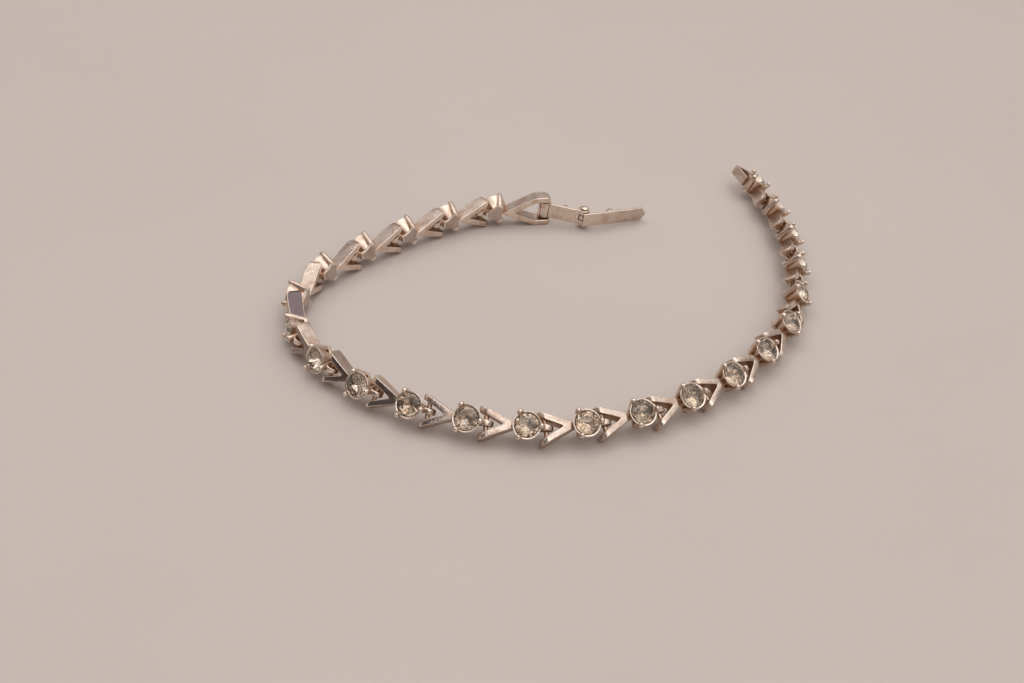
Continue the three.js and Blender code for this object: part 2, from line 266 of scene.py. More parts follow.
def block(x: tuple[float, float], y: tuple[float, float], z: tuple[float, float], edge: float,
          corner_share: float = 1.5) -> Surface:
    """A box with rounded edges: a rounded rectangle in x and z given thickness along y.

    Args:
        x: Where it begins and ends along x.
        y: Where it begins and ends along y.
        z: Where it begins and ends along z.
        edge: Radius of its two rims.
        corner_share: Radius of its corners, for each length of the rims' radius.

    Returns:
        The closed skin.
    """
    wide, across = rounded_section((x[1] - x[0]) / 2, (z[1] - z[0]) / 2, corner_share * edge)
    outline = np.stack([(x[0] + x[1]) / 2 + wide[0], (z[0] + z[1]) / 2 + across[0]], axis=1)
    return plate(outline, y[0], y[1], edge)


def carried(path: np.ndarray, across: np.ndarray, up: np.ndarray, half_a: np.ndarray,
            half_b: np.ndarray, edge: float, closed: bool = False) -> Surface:
    """A rounded rectangle carried along a path: each ring is the path's point plus the section's two
    offsets along the two directions that go with that point.

    Args:
        path: Points of the path.
        across: Direction of the section's width at each point.
        up: Direction of the section's height at each point.
        half_a: Half width at each point.
        half_b: Half height at each point.
        edge: Radius of the section's corners.
        closed: Whether the path closes on itself.

    Returns:
        The closed skin.
    """
    wide, high = rounded_section(half_a, half_b, edge)
    rings = path[:, None, :] + wide[..., None] * across[:, None, :] + high[..., None] * up[:, None, :]
    return skin(rings, closed)


@dataclass(frozen=True)
class Setting:
    """The cup round a stone, with the three prongs that hold it.

    Attributes:
        back: Level of the link's back.
        seat_clearance: Room round the stone and under its girdle.
        back_radius: Radius of the cup at its back.
        prong_back_radius: How far out a prong's outer face begins, at the back.
        bell: How far the cup's wall sags inwards.
        lip: Radius of the cup's lip.
        rim_slope: How far the rim falls towards the stone.
        prong_rise: How far a prong stands over the rim.
        waist_in: How far a prong is drawn in from the rim's radius, lower down.
        waist_drop: How far under the rim that is.
        bow_out: How far a prong is drawn out past the rim's radius, higher up.
        bow_rise: How far over the rim that is.
        bead_out: How far outside the stone a prong's bead ends.
        bead_rise: How far a prong's end is drawn up over the bead's middle.
        swell_from: Share of a prong's length at which it begins to swell into its bead.
        swell_span: Share of its length over which it swells.
        close_from: Share of its length at which it begins to close.
        closed_share: What is left of its section where it ends, squared.
        rib_depth: How far a prong reaches into the cup's wall.
        rib_until: Share of its length at which it leaves the wall.
        star_depth: Thickness of the plate on the back.
        notch_radius: How far out that plate reaches between two prongs.
        star_dark_reflection: How dark a reflection is painted on the plate's back face.
    """

    stone_radius: float = STONE_RADIUS
    girdle_level: float = GIRDLE_LEVEL
    back: float = BACK_LEVEL
    seat_clearance: float = 0.06
    wall: float = 0.24
    back_radius: float = 0.85
    prong_back_radius: float = 1.5
    rim_above_girdle: float = 0.08
    bell: float = 0.07
    lip: float = 0.05
    rim_slope: float = 0.09
    prong_angles: tuple[float, ...] = (60, 180, 300)
    prong_half_width: float = 0.42
    prong_half_thickness: float = 0.27
    prong_rise: float = 0.75
    waist_in: float = 0.1
    waist_drop: float = 0.75
    bow_out: float = 0.42
    bow_rise: float = 0.2
    bead_out: float = 0.12
    bead_rise: float = 0.12
    swell_from: float = 0.5
    swell_span: float = 0.32
    close_from: float = 0.78
    closed_share: float = 0.004
    rib_depth: float = 0.2
    rib_until: float = 0.75
    star_depth: float = 0.45
    notch_radius: float = 0.95
    star_dark_reflection: float = 0.38
    bead_half_width: float = 0.37
    bead_half_thickness: float = 0.34

    @property
    def seat_radius(self) -> float:
        """Radius of the seat that the stone drops into."""
        return self.stone_radius + self.seat_clearance

    @property
    def cup_radius(self) -> float:
        """Outside radius of the cup at its rim."""
        return self.seat_radius + self.wall

    @property
    def rim(self) -> float:
        """Level of the cup's rim."""
        return self.girdle_level + self.rim_above_girdle

    def cup(self) -> Surface:
        """The cup: a cone whose wall sags inwards by half a sine wave, a rounded lip that slopes down to the
        stone, and a conical seat.

        Returns:
            The closed skin.
        """
        share = np.linspace(0, 1, 10)
        radius = self.back_radius + share * (self.cup_radius - self.back_radius)
        radius -= self.bell * np.sin(np.pi * share)
        level = self.back + 2 * self.lip + share * (self.rim - self.back - 3 * self.lip)
        wall = list(zip(radius, level))
        seat = self.girdle_level - self.seat_clearance
        return revolved([
            (self.back_radius - self.lip, self.back + self.lip),
            *wall,
            (self.cup_radius - self.lip / 2, self.rim - self.lip / 4),
            (self.cup_radius - self.lip, self.rim),
            (self.cup_radius - 2 * self.lip, self.rim),
            (self.seat_radius, self.rim - self.rim_slope),
            (self.seat_radius, seat),
            (self.lip, self.lip / 2),
        ])

    def prong(self, angle: float) -> Surface:
        """One prong: a section carried up a cubic curve in the plane of the stone's axis. It reaches into the
        cup's wall by half a sine wave, swells into a bead over the stone's edge, and shrinks to nothing there
        as a circle does.

        Args:
            angle: Where the prong stands round the axis, in degrees from the chain's direction.

        Returns:
            The closed skin.
        """
        stem = 0.7
        bead = stem + (1 - stem) * np.sin(np.linspace(0.1, 1.53, 12))
        share = np.concatenate([np.linspace(0, stem, 10), bead])
        top = self.rim + self.prong_rise - self.bead_half_thickness
        control = np.array([
            [self.prong_back_radius - self.prong_half_thickness, self.back],
            [self.cup_radius - self.waist_in, self.rim - self.waist_drop],
            [self.cup_radius + self.bow_out, self.rim + self.bow_rise],
            [self.stone_radius + self.bead_out, top + self.bead_rise],
        ])
        s, rest = share[:, None], 1 - share[:, None]
        curve = (rest**3 * control[0] + 3 * rest**2 * s * control[1]
                 + 3 * rest * s**2 * control[2] + s**3 * control[3])
        slope = np.gradient(curve, axis=0)
        slope /= np.linalg.norm(slope, axis=1, keepdims=True)
        swell = np.clip((share - self.swell_from) / self.swell_span, 0, 1)
        swell = swell * swell * (3 - 2 * swell)
        into_end = np.clip(share - self.close_from, 0, 1) / (1 - self.close_from)
        close = np.sqrt(np.clip(1 - into_end**2, self.closed_share, 1))
        thick = close * (self.prong_half_thickness
                         + swell * (self.bead_half_thickness - self.prong_half_thickness))
        wide = close * (self.prong_half_width + swell * (self.bead_half_width - self.prong_half_width))
        turn = math.radians(angle)
        radial = np.array([math.cos(turn), 0.0, -math.sin(turn)])
        axis = np.array([0.0, 1.0, 0.0])
        deeper = self.rib_depth * np.sin(np.pi * np.clip(share / self.rib_until, 0, 1))
        thick = thick + deeper
        up = slope[:, 1:] * radial - slope[:, :1] * axis
        path = curve[:, :1] * radial + curve[:, 1:] * axis - deeper[:, None] * up
        across = np.repeat(np.cross(radial, axis)[None, :], len(share), 0)
        return carried(path, across, up, wide, thick, self.bead_half_width)

    def star(self) -> Surface:
        """The plate on a setting's back: three legs that run out to the prongs, joined by a smaller circle.

        Returns:
            The closed skin.
        """
        tips = np.array([[self.prong_back_radius, -self.prong_half_width],
                         [self.prong_back_radius, self.prong_half_width]])
        between = np.radians([45, 60, 75])
        notch = self.notch_radius * np.stack([np.cos(between), np.sin(between)], axis=1)
        third = np.concatenate([tips, notch])
        corners = []
        for angle in self.prong_angles:
            c, s = math.cos(math.radians(angle)), math.sin(math.radians(angle))
            corners.append(third @ np.array([[c, s], [-s, c]]))
        made = plate(np.concatenate(corners), self.back, self.back + self.star_depth, self.lip)
        # Painted dark reflection: the plate's back face is darkened toward grey.
        return replace(made, stain_and_dark_reflection=self.star_dark_reflection * (made.points[:, 1] <= self.back))

    def surfaces(self) -> list[Surface]:
        """The cup, the plate on its back and the prongs."""
        return [self.cup(), self.star(), *(self.prong(angle) for angle in self.prong_angles)]


@dataclass(frozen=True)
class Chevron:
    """The V of two arms in front of a cup, with the cross pin that the next link hangs on.

    Attributes:
        pin_at: How far the pin stands from the stone's axis.
        overhang: How far the arms run past the pin.
        flat: Half the distance at which the arms turn parallel.
        corner: Where the arms' inner edges meet.
        fillet: How far the rounded inside corner stands off the sharp one.
        tip_rounding: Radius of the outside corner at an arm's end.
        draft: How much narrower the arms are in front, on their outside, than at the back.
        apex_drop: How much lower the front is in the middle of the V than at the arms.
        rise_power: How sharply the front rises from there.
        end_rounding: Radius of the front at an arm's end.
        end_share: Share of an arm's length over which its sections lie closer together.
        end_shrink: How much smaller its last section is, all round.
        front_stain_and_dark_reflection: How stained the arms' front is, within its rims, with a painted dark
            reflection.
        wall_stain_and_dark_reflection: How stained the arms' sides are, within their rims, with a painted
            dark reflection.
    """

    pin_at: float
    overhang: float
    flat: float
    corner: float
    half_angle: float = 24.5
    arm_width: float = 0.87
    fillet: float = 0.22
    tip_rounding: float = 0.42
    draft: float = 0.13
    back: float = BACK_LEVEL
    front: float = 0.88
    apex_drop: float = 0.4
    rise_power: float = 1.5
    end_rounding: float = 1.0
    end_share: float = 0.26
    end_shrink: float = 0.096
    back_chamfer: float = 0.35
    edge: float = 0.12
    pin_radius: float = PIN_RADIUS
    pin_in_arm: float = 0.25
    front_stain_and_dark_reflection: float = 0.0
    wall_stain_and_dark_reflection: float = 0.0

    @property
    def end(self) -> float:
        """Where the arms end."""
        return self.pin_at + self.overhang

    @property
    def slope(self) -> float:
        """How fast the arms part."""
        return math.tan(math.radians(self.half_angle))

    def rails(self, share: np.ndarray) -> tuple[np.ndarray, np.ndarray]:
        """The inner and outer edge of one arm, as x and z, at shares of its length. They start in the
        middle of the V, where the two arms meet in a mitre, and may bend once to run parallel. The inner
        edge rounds the inside corner along a hyperbola.

        Args:
            share: Shares of the arm's length, from the mitre to the end.

        Returns:
            The two edges, an array of x and z each.
        """
        across = self.arm_width / math.cos(math.radians(self.half_angle))
        tail = min(self.flat, (self.end - self.corner) * self.slope)
        bend = self.corner + tail / self.slope
        outer_tail = tail + (self.arm_width if tail == self.flat else across)
        outer_bend = self.corner + (outer_tail - across) / self.slope
        at = [0, (bend - self.corner) / (self.end - self.corner), 1 + 1e-9]
        inner_x, inner_z = [self.corner, bend, self.end], [0, tail, tail]
        outer_x = [self.corner - across / self.slope, outer_bend, self.end]
        outer_z = [0, outer_tail, outer_tail]
        inner = np.stack([np.interp(share, at, inner_x), np.interp(share, at, inner_z)], axis=1)
        outer = np.stack([np.interp(share, at, outer_x), np.interp(share, at, outer_z)], axis=1)
        from_corner = inner[:, 0] - self.corner
        inner[:, 0] += (np.hypot(from_corner, self.fillet) - from_corner) * (1 - share) ** 2
        return inner, outer

    def levels(self, x: np.ndarray) -> tuple[np.ndarray, np.ndarray]:
        """The back and front levels at x: a straight back with a chamfered end, and a front that rises to
        half way along and then follows a quarter circle down at the end.

        Args:
            x: Places along the chain.

        Returns:
            The back's levels and the front's.
        """
        turn = self.end_rounding
        rise = np.clip(2 * x / (self.corner + self.end), 0, 1)
        front = self.front - self.apex_drop * (1 - rise) ** self.rise_power
        into = np.clip(x - (self.end - turn), 0, turn)
        front = front - (turn - np.sqrt(turn**2 - into**2 + 1e-9))
        back = self.back + np.clip(x - (self.end - self.back_chamfer), 0, self.back_chamfer)
        return back, front

    def arms(self) -> Surface:
        """Both arms as one bar: a rounded rectangle between the two rails and the two levels, carried from
        the end of one arm through the mitre to the end of the other.

        Returns:
            The closed skin, stained within its rims.
        """
        near_end = 1 - self.end_share * (1 - np.sin(np.linspace(0, np.pi / 2, 11)))
        share = np.concatenate([np.linspace(0, 1 - self.end_share, 16)[:-1], near_end])
        shrink = np.zeros(len(share))
        shrink[-1] = self.end_shrink
        inner, outer = self.rails(share)
        into = np.clip((inner[:, 0] - self.end) / self.tip_rounding + 1, 0, 1)
        outer[:, 1] -= self.tip_rounding * (1 - np.sqrt(1 - into**2))
        middle, reach = (inner + outer) / 2, (outer - inner) / 2
        half = np.linalg.norm(reach, axis=1)
        tall = np.full(len(share), (self.front - self.back) / 2)
        wide, high = rounded_section(half - shrink, tall - shrink, self.edge)
        flat_side = np.isclose(np.abs(wide), (half - shrink)[:, None])
        flat_front = np.isclose(high, (tall - shrink)[:, None])
        # Painted dark reflection over a light stain: the flat front and sides are darkened within their rims.
        stain_and_dark_reflection = np.maximum(self.wall_stain_and_dark_reflection * flat_side, self.front_stain_and_dark_reflection * flat_front)
        wide, high = wide / half[:, None], high / tall[:, None]
        height = (high + 1) / 2
        wide = wide - np.clip(wide, 0, 1) * height * self.draft / half[:, None]
        x = middle[:, :1] + wide * reach[:, :1]
        z = middle[:, 1:] + wide * reach[:, 1:]
        back, front = self.levels(x)
        y = back + height * (front - back)
        arm = np.stack([x, y, z], axis=-1)
        other = (arm * [1, 1, -1])[:0:-1]
        both_stains_and_reflections = np.concatenate([stain_and_dark_reflection[:0:-1], stain_and_dark_reflection]).ravel()
        return replace(skin(np.concatenate([other, arm])), stain_and_dark_reflection=both_stains_and_reflections)

    def pin(self, sides: int = 24) -> Surface:
        """The cross pin, between the two arms and a little way into each: one circle at each end.

        Args:
            sides: Spans round the pin.

        Returns:
            The closed skin.
        """
        inner, _ = self.rails(np.array([(self.pin_at - self.corner) / (self.end - self.corner)]))
        half = inner[0, 1] + self.pin_in_arm
        turn = np.arange(sides) * 2 * np.pi / sides
        x = np.tile(self.pin_at + self.pin_radius * np.cos(turn), (2, 1))
        y = np.tile(self.pin_radius * np.sin(turn), (2, 1))
        z = np.repeat([[-half], [half]], sides, 1)
        return skin(np.stack([x, y, z], axis=-1))

    def surfaces(self) -> list[Surface]:
        """The arms and their pin."""
        return [self.arms(), self.pin()]


@dataclass(frozen=True)
class Eye:
    """The eye on the back of a link, and the neck that joins it to the cup.

    Attributes:
        reach: How far the eye's axis stands from the stone's.
        swell: How much wider the ring is beside its neck than in front.
        into_cup: How far from the stone's axis the neck ends, inside the cup's wall.
    """

    reach: float
    hole: float = PIN_RADIUS + PIN_CLEARANCE
    wall: float = RING_WALL
    width: float = 0.68
    swell: float = 0.22
    edge: float = 0.16
    into_cup: float = 1.15

    def surfaces(self) -> list[Surface]:
        """The eye's ring, which widens towards its neck as one plus a cosine, and the neck.

        Returns:
            The two closed skins.
        """
        outer = self.hole + self.wall
        ring = hoop(-self.reach, 0, self.hole, outer, self.width, edge=self.edge)
        forward = (ring.points[:, 0] + self.reach) / outer
        wider = 1 + self.swell / self.width * (1 + np.clip(forward, -1, 1)) / 2
        ring = replace(ring, points=np.stack([*ring.points.T[:2], ring.points[:, 2] * wider], axis=1))
        side = (self.width + self.swell) / 2 - self.edge / 4
        neck = block((-self.reach + self.hole + self.wall / 4, -self.into_cup),
                     (-outer + self.edge / 2, self.hole + self.wall / 4), (-side, side), self.edge)
        return [ring, neck]


@dataclass(frozen=True)
class Catch:
    """The catch on the first link: a U of flat strip whose ends run beside the cup.

    Attributes:
        inner: Half the distance between the strip's two sides.
        slot: Room between the cup and the bar, for the tongue.
        bend: Radius of the strip's middle line at its two corners.
        tail: Where its ends are, from the stone's axis.
    """

    cup_radius: float
    inner: float
    wall: float = 0.5
    depth: float = 1.5
    slot: float = 1.9
    back_level: float = -0.8
    bend: float = 0.45
    tail: float = 0.0
    edge: float = 0.1

    def surfaces(self) -> list[Surface]:
        """The strip: a rounded rectangle carried along two straight sides and the bar that joins them,
        round two quarter circles at the corners.

        Returns:
            The closed skin.
        """
        side = self.inner + self.wall / 2
        bar = -(self.cup_radius + self.slot + self.wall / 2)
        quarter = np.radians(np.linspace(0, 90, 9))
        arc = np.stack([bar + self.bend * (1 - np.sin(quarter)),
                        side - self.bend * (1 - np.cos(quarter))], axis=1)
        along = np.linspace(self.tail, bar + self.bend, 6)[:-1]
        straight = np.stack([along, np.full(len(along), side)], axis=1)
        half = np.concatenate([straight, arc])
        line = np.concatenate([half, (half * [1, -1])[::-1]])
        ahead = np.gradient(line, axis=0)
        ahead /= np.linalg.norm(ahead, axis=1, keepdims=True)
        count = len(line)
        half_wall = np.full(count, self.wall / 2)
        half_depth = np.full(count, self.depth / 2)
        path = np.stack([line[:, 0], self.back_level + half_depth, line[:, 1]], axis=1)
        across = np.stack([-ahead[:, 1], np.zeros(count), ahead[:, 0]], axis=1)
        up = np.repeat([[0.0, 1.0, 0.0]], count, 0)
        return [carried(path, across, up, half_wall, half_depth, self.edge)]


@dataclass(frozen=True)
class Stone:
    """A round brilliant with a foiled back.

    Attributes:
        radius: Radius of the girdle.
        table: Radius of the table's corners.
        crown: Height of the crown over the girdle.
        pavilion: Depth of the point under the girdle.
        girdle: Half the height of the girdle's band.
        girdle_level: Level of the girdle in the link's frame.
        star: Radius at which neighbouring crown facets meet over the girdle.
        lower: Radius at which neighbouring back facets meet.
        darkest_painted_shade: The painted shade of the darkest back facet.
    """

    radius: float = STONE_RADIUS
    table: float = 0.85
    crown: float = 0.45
    pavilion: float = 1.15
    girdle: float = 0.03
    girdle_level: float = GIRDLE_LEVEL
    star: float = 1.2
    lower: float = 0.9
    darkest_painted_shade: float = 0.44

    @property
    def table_level(self) -> float:
        """Level of the table in the link's frame."""
        return self.girdle_level + self.crown

    def surface(self) -> Surface:
        """The stone's corners on eight spokes and on the eight half way between them. A main facet is the
        plane through a spoke's girdle corner and the table's or the point's, so where two of them meet, at
        radius r half way between their spokes, the level is that plane's at r times the cosine of 22.5
        degrees.

        Returns:
            The skin, with material 0 on the front and 1 on the foiled back.
        """
        sides = 8
        half_way = math.pi / sides
        spoke = np.arange(sides) * 2 * half_way
        between = spoke + half_way
        lean = math.cos(half_way)
        star_level = self.girdle + (self.crown - self.girdle) * (self.radius - self.star * lean) / (
            self.radius - self.table)
        lower_level = -self.girdle - (self.pavilion - self.girdle) * (1 - self.lower * lean / self.radius)
        rings = [
            (self.table, self.crown, spoke), (self.star, star_level, between),
            (self.radius, self.girdle, spoke), (self.radius, self.girdle, between),
            (self.radius, -self.girdle, spoke), (self.radius, -self.girdle, between),
            (self.lower, lower_level, between),
        ]
        points = np.concatenate([
            np.stack([r * np.cos(a), np.full(sides, self.girdle_level + y), r * np.sin(a)], axis=1)
            for r, y, a in rings
        ] + [[[0.0, self.girdle_level - self.pavilion, 0.0]]])
        table, star, high, high_mid, low, low_mid, lower = np.arange(len(rings) * sides).reshape(-1, sides)
        next_table, next_high, next_low = (np.roll(ring, -1) for ring in (table, high, low))
        before = np.roll(star, 1)
        lower_before = np.roll(lower, 1)
        point = np.full(sides, len(rings) * sides)
        front = [table.tolist()]
        for corners in ((table, next_table, star), (before, table, star, high), (high, star, high_mid),
                        (star, next_high, high_mid), (high, high_mid, low_mid, low),
                        (high_mid, next_high, next_low, low_mid)):
            front += np.stack(corners, axis=1).tolist()
        back = []
        for corners in ((low, low_mid, lower), (low_mid, next_low, lower), (lower_before, low, lower, point)):
            back += np.stack(corners, axis=1).tolist()
        material = np.repeat([0, 1], [len(front), len(back)])
        return oriented(Surface(points, front + back, material), np.array([0.0, self.girdle_level, 0.0]))


def oriented(surface: Surface, inside: np.ndarray) -> Surface:
    """A convex skin with every face turned to point away from a point inside it.

    Args:
        surface: The skin, whose faces may be wound either way.
        inside: A point inside it.

    Returns:
        The skin, facing out.
    """
    faces = []
    for face in surface.faces:
        a, b, c = surface.points[face[:3]]
        faces.append(face if np.dot(np.cross(b - a, c - a), a - inside) > 0 else face[::-1])
    return Surface(surface.points, faces, surface.material)


@dataclass(frozen=True)
class Link:
    """One link's casting and where its stone sits.

    Attributes:
        kind: Where the link stands in the chain.
        setting: The cup and prongs.
        apex_web: Metal between the cup and the inside corner of the chevron.
        eye_to_cup: How far the eye's axis stands off the cup.
        eye_side_clearance: Room beside the next link's eye, between the arms.
        overhang: How far the arms run past their pin.
        end_pin_at: Where the end link's pin stands.
        end_overhang: How far the end link's arms run past their pin.
        end_flat: Half the distance between the end link's parallel arms.
        catch_overlap: How far the catch's ends reach into the cup's wall.
        front_stain_and_dark_reflection: How stained the chevron's front is, with a painted dark reflection.
        wall_stain_and_dark_reflection: How stained the chevron's sides are, with a painted dark reflection.
    """

    kind: LinkKind
    setting: Setting = field(default_factory=Setting)
    apex_web: float = 0.98
    eye_to_cup: float = 0.55
    eye_side_clearance: float = 0.26
    overhang: float = 0.92
    end_pin_at: float = 7.6
    end_overhang: float = 0.7
    end_flat: float = 1.5
    catch_overlap: float = 0.08
    front_stain_and_dark_reflection: float = 0.1
    wall_stain_and_dark_reflection: float = 0.1

    def chevron(self) -> Chevron:
        """The link's chevron, whose pin leaves room for the next link's eye between the arms.

        Returns:
            The chevron.
        """
        corner = self.setting.cup_radius + self.apex_web
        if self.kind is LinkKind.END:
            return Chevron(self.end_pin_at, self.end_overhang, self.end_flat, corner,
                           front_stain_and_dark_reflection=self.front_stain_and_dark_reflection, wall_stain_and_dark_reflection=self.wall_stain_and_dark_reflection)
        spread = Chevron(0, 0, 0, corner).slope
        eye = Eye(0)
        room = (eye.width / 2 + self.eye_side_clearance) / spread + eye.hole + eye.wall
        return Chevron(corner + room, self.overhang, math.inf, corner,
                       front_stain_and_dark_reflection=self.front_stain_and_dark_reflection, wall_stain_and_dark_reflection=self.wall_stain_and_dark_reflection)

    def tail(self) -> list[Surface]:
        """The eye, or the catch on the first link, which meets the cup where its wall is level with the
        strip's front edge.

        Returns:
            The closed skins.
        """
        if self.kind is not LinkKind.CATCH:
            return Eye(self.setting.cup_radius + self.eye_to_cup).surfaces()
        top = Catch.back_level + Catch.depth
        share = (top - self.setting.back) / (self.setting.rim - self.setting.back)
        wall = self.setting.back_radius + share * (self.setting.cup_radius - self.setting.back_radius)
        return Catch(self.setting.cup_radius, wall - self.catch_overlap).surfaces()

    def surfaces(self) -> list[Surface]:
        """All of the casting."""
        return [*self.setting.surfaces(), *self.chevron().surfaces(), *self.tail()]


@dataclass(frozen=True)
class Clasp:
    """The fold-over clasp: a base on the end link's pin, an arm hinged to it, and the hinge's pin.

    Attributes:
        base_length: Distance from the barrel's axis to the hinge's.
        base_setback: How far the plate's face with the stud lies behind both axes.
        arm_length: Distance from the hinge's axis to where the plate narrows to its tongue.
        arm_before_hinge: How far the arm's plate reaches back past the hinge's axis.
        shoulder: Share of the tongue's length over which the plate narrows.
        tongue_power: How square the tongue's rounded end is.
        tongue_fit: Share of its width that the tongue's curve takes.
        tongue_end: What keeps its last two corners apart.
        stud_rounding: Radius at the top of a snap stud.
        stud_raise: How far the studs stand off the plate's middle line.
        arm_open: How far the arm stands from being in line with the base, in degrees.
        rim: Radius of the two plates' rims.
        tip_fade: Length over which the arm's end grows stained.
        tip_stain: How stained its end is.
    """

    plate_height: float = 2.5
    plate_thickness: float = 0.4
    barrel_hole: float = PIN_RADIUS + PIN_CLEARANCE
    barrel_wall: float = RING_WALL
    base_length: float = 6.0
    base_setback: float = 0.35
    knuckle_radius: float = 0.85
    knuckle_gap: float = 0.12
    pin_radius: float = 0.3
    pin_clearance: float = 0.15
    pin_head_radius: float = 0.6
    pin_head: float = 0.25
    pin_head_gap: float = 0.1
    arm_length: float = 8.9
    arm_height: float = 2.2
    arm_before_hinge: float = 0.55
    tongue_length: float = 0.9
    tongue_width: float = 0.9
    shoulder: float = 0.6
    tongue_power: int = 6
    tongue_fit: float = 0.98
    tongue_end: float = 0.01
    stud_radius: float = 0.5
    stud_rounding: float = 0.35
    stud_height: float = 1.15
    stud_raise: float = 0.4
    base_stud_from_hinge: float = 2.9
    arm_stud_from_hinge: float = 4.2
    arm_open: float = 32.0
    edge: float = 0.07
    rim: float = 0.14
    tip_fade: float = 1.6
    tip_stain: float = 0.25

    @property
    def knuckle_width(self) -> float:
        """Width of one of the three knuckles."""
        return self.plate_height / 3 - self.knuckle_gap

    @property
    def hinge_hole(self) -> float:
        """Radius of the hinge's hole."""
        return self.pin_radius + self.pin_clearance

    def stud(self, x: float, face: float) -> Surface:
        """A snap stud: a short post whose top is rounded by most of a quarter circle.

        Args:
            x: Where it stands.
            face: Level of the face that it stands on.

        Returns:
            The closed skin.
        """
        quarter = np.radians(np.linspace(0, 84, 7))
        crown = self.stud_radius - self.stud_rounding * (1 - np.cos(quarter))
        level = face + self.stud_height - self.stud_rounding * (1 - np.sin(quarter))
        stud = revolved([(self.stud_radius, face - self.plate_thickness / 2), *zip(crown, level)], 28)
        return replace(stud, points=stud.points + [x, 0, self.stud_raise])

    def base(self) -> list[Surface]:
        """The barrel, the plate, its snap stud and the two outer knuckles.

        Returns:
            The closed skins.
        """
        half = self.plate_height / 2
        face = -self.base_setback
        outer = (self.plate_height - self.knuckle_width) / 2 - self.knuckle_gap
        middle = half - outer / 2
        last = self.base_length - self.knuckle_radius - self.knuckle_gap
        return [
            hoop(0, 0, self.barrel_hole, self.barrel_hole + self.barrel_wall, self.plate_height,
                 edge=self.edge),
            block((self.barrel_hole + self.barrel_wall / 3, last), (face - self.plate_thickness, face),
                  (-half + self.edge / 3, half - self.edge / 3), self.rim),
            self.stud(self.base_length - self.base_stud_from_hinge, face),
            *(self.leaf(side * middle, outer, last, face) for side in (-1, 1)),
            *(hoop(self.base_length, 0, self.hinge_hole, self.knuckle_radius, outer, side * middle,
                   self.edge) for side in (-1, 1)),
        ]

    def leaf(self, middle: float, width: float, start: float, face: float) -> Surface:
        """The strip of plate that reaches under one outer knuckle.

        Args:
            middle: Middle of the knuckle's width.
            width: The knuckle's width.
            start: Where the plate ends.
            face: Level of the plate's face with the stud.

        Returns:
            The closed skin.
        """
        low = middle - width / 2 + self.edge / 2
        return block((start - 2 * self.edge, self.base_length - self.hinge_hole - self.edge),
                     (face - self.plate_thickness + self.edge / 4, face - self.edge / 4),
                     (low, low + width - self.edge), self.edge)

    def arm(self) -> list[Surface]:
        """The middle knuckle, the neck, the snap stud and the plate, whose half width falls at its end
        along a quarter of an ellipse to a tongue that is rounded off in its turn.

        Returns:
            The closed skins.
        """
        half, tongue = self.arm_height / 2, self.tongue_width / 2
        face = -(self.knuckle_radius + self.knuckle_gap)
        turn = np.linspace(0, 1, 18)
        bow = self.arm_length + self.tongue_length * turn
        shoulder = np.sqrt(1 - np.clip(turn / self.shoulder, 0, 1) ** 2)
        rounded = np.sqrt(1 + self.tongue_end - turn**self.tongue_power)
        side = self.tongue_fit * tongue * rounded + (half - tongue) * shoulder
        upper = np.stack([bow, side], axis=1)
        heel = np.array([[-self.arm_before_hinge, half], [0.0, half], [self.arm_length / 2, half]])
        one = np.concatenate([heel, upper])
        outline = np.concatenate([one, (one * [1, -1])[::-1]])
        neck = block((-self.arm_before_hinge + self.edge, self.knuckle_radius - self.edge),
                     (face - self.plate_thickness / 2, -self.hinge_hole - self.edge),
                     (-self.knuckle_width / 2 + self.edge / 2, self.knuckle_width / 2 - self.edge / 2),
                     self.edge)
        blade = plate(outline, face - self.plate_thickness, face, self.rim)
        dulled = np.clip((blade.points[:, 0] - self.arm_length) / self.tip_fade + 1, 0, 1)
        return [
            replace(blade, stain_and_dark_reflection=self.tip_stain * dulled),
            hoop(0, 0, self.hinge_hole, self.knuckle_radius, self.knuckle_width, edge=self.edge),
            neck,
            self.stud(self.arm_stud_from_hinge, face),
        ]

    def hinge_pin(self) -> list[Surface]:
        """The hinge's pin: a shank with a riveted head at each end, turned about z.

        Returns:
            The closed skin.
        """
        shank = self.plate_height / 2 + self.pin_head_gap
        quarter = np.radians(np.linspace(0, 80, 6))
        head = list(zip(self.pin_head_radius * np.cos(quarter), shank + self.pin_head * np.sin(quarter)))
        half = [(self.pin_radius, shank), *head]
        profile = [(r, -y) for r, y in half[::-1]] + half
        pin = revolved(profile, 24)
        return [replace(pin, points=pin.points[:, [0, 2, 1]]).outward()]


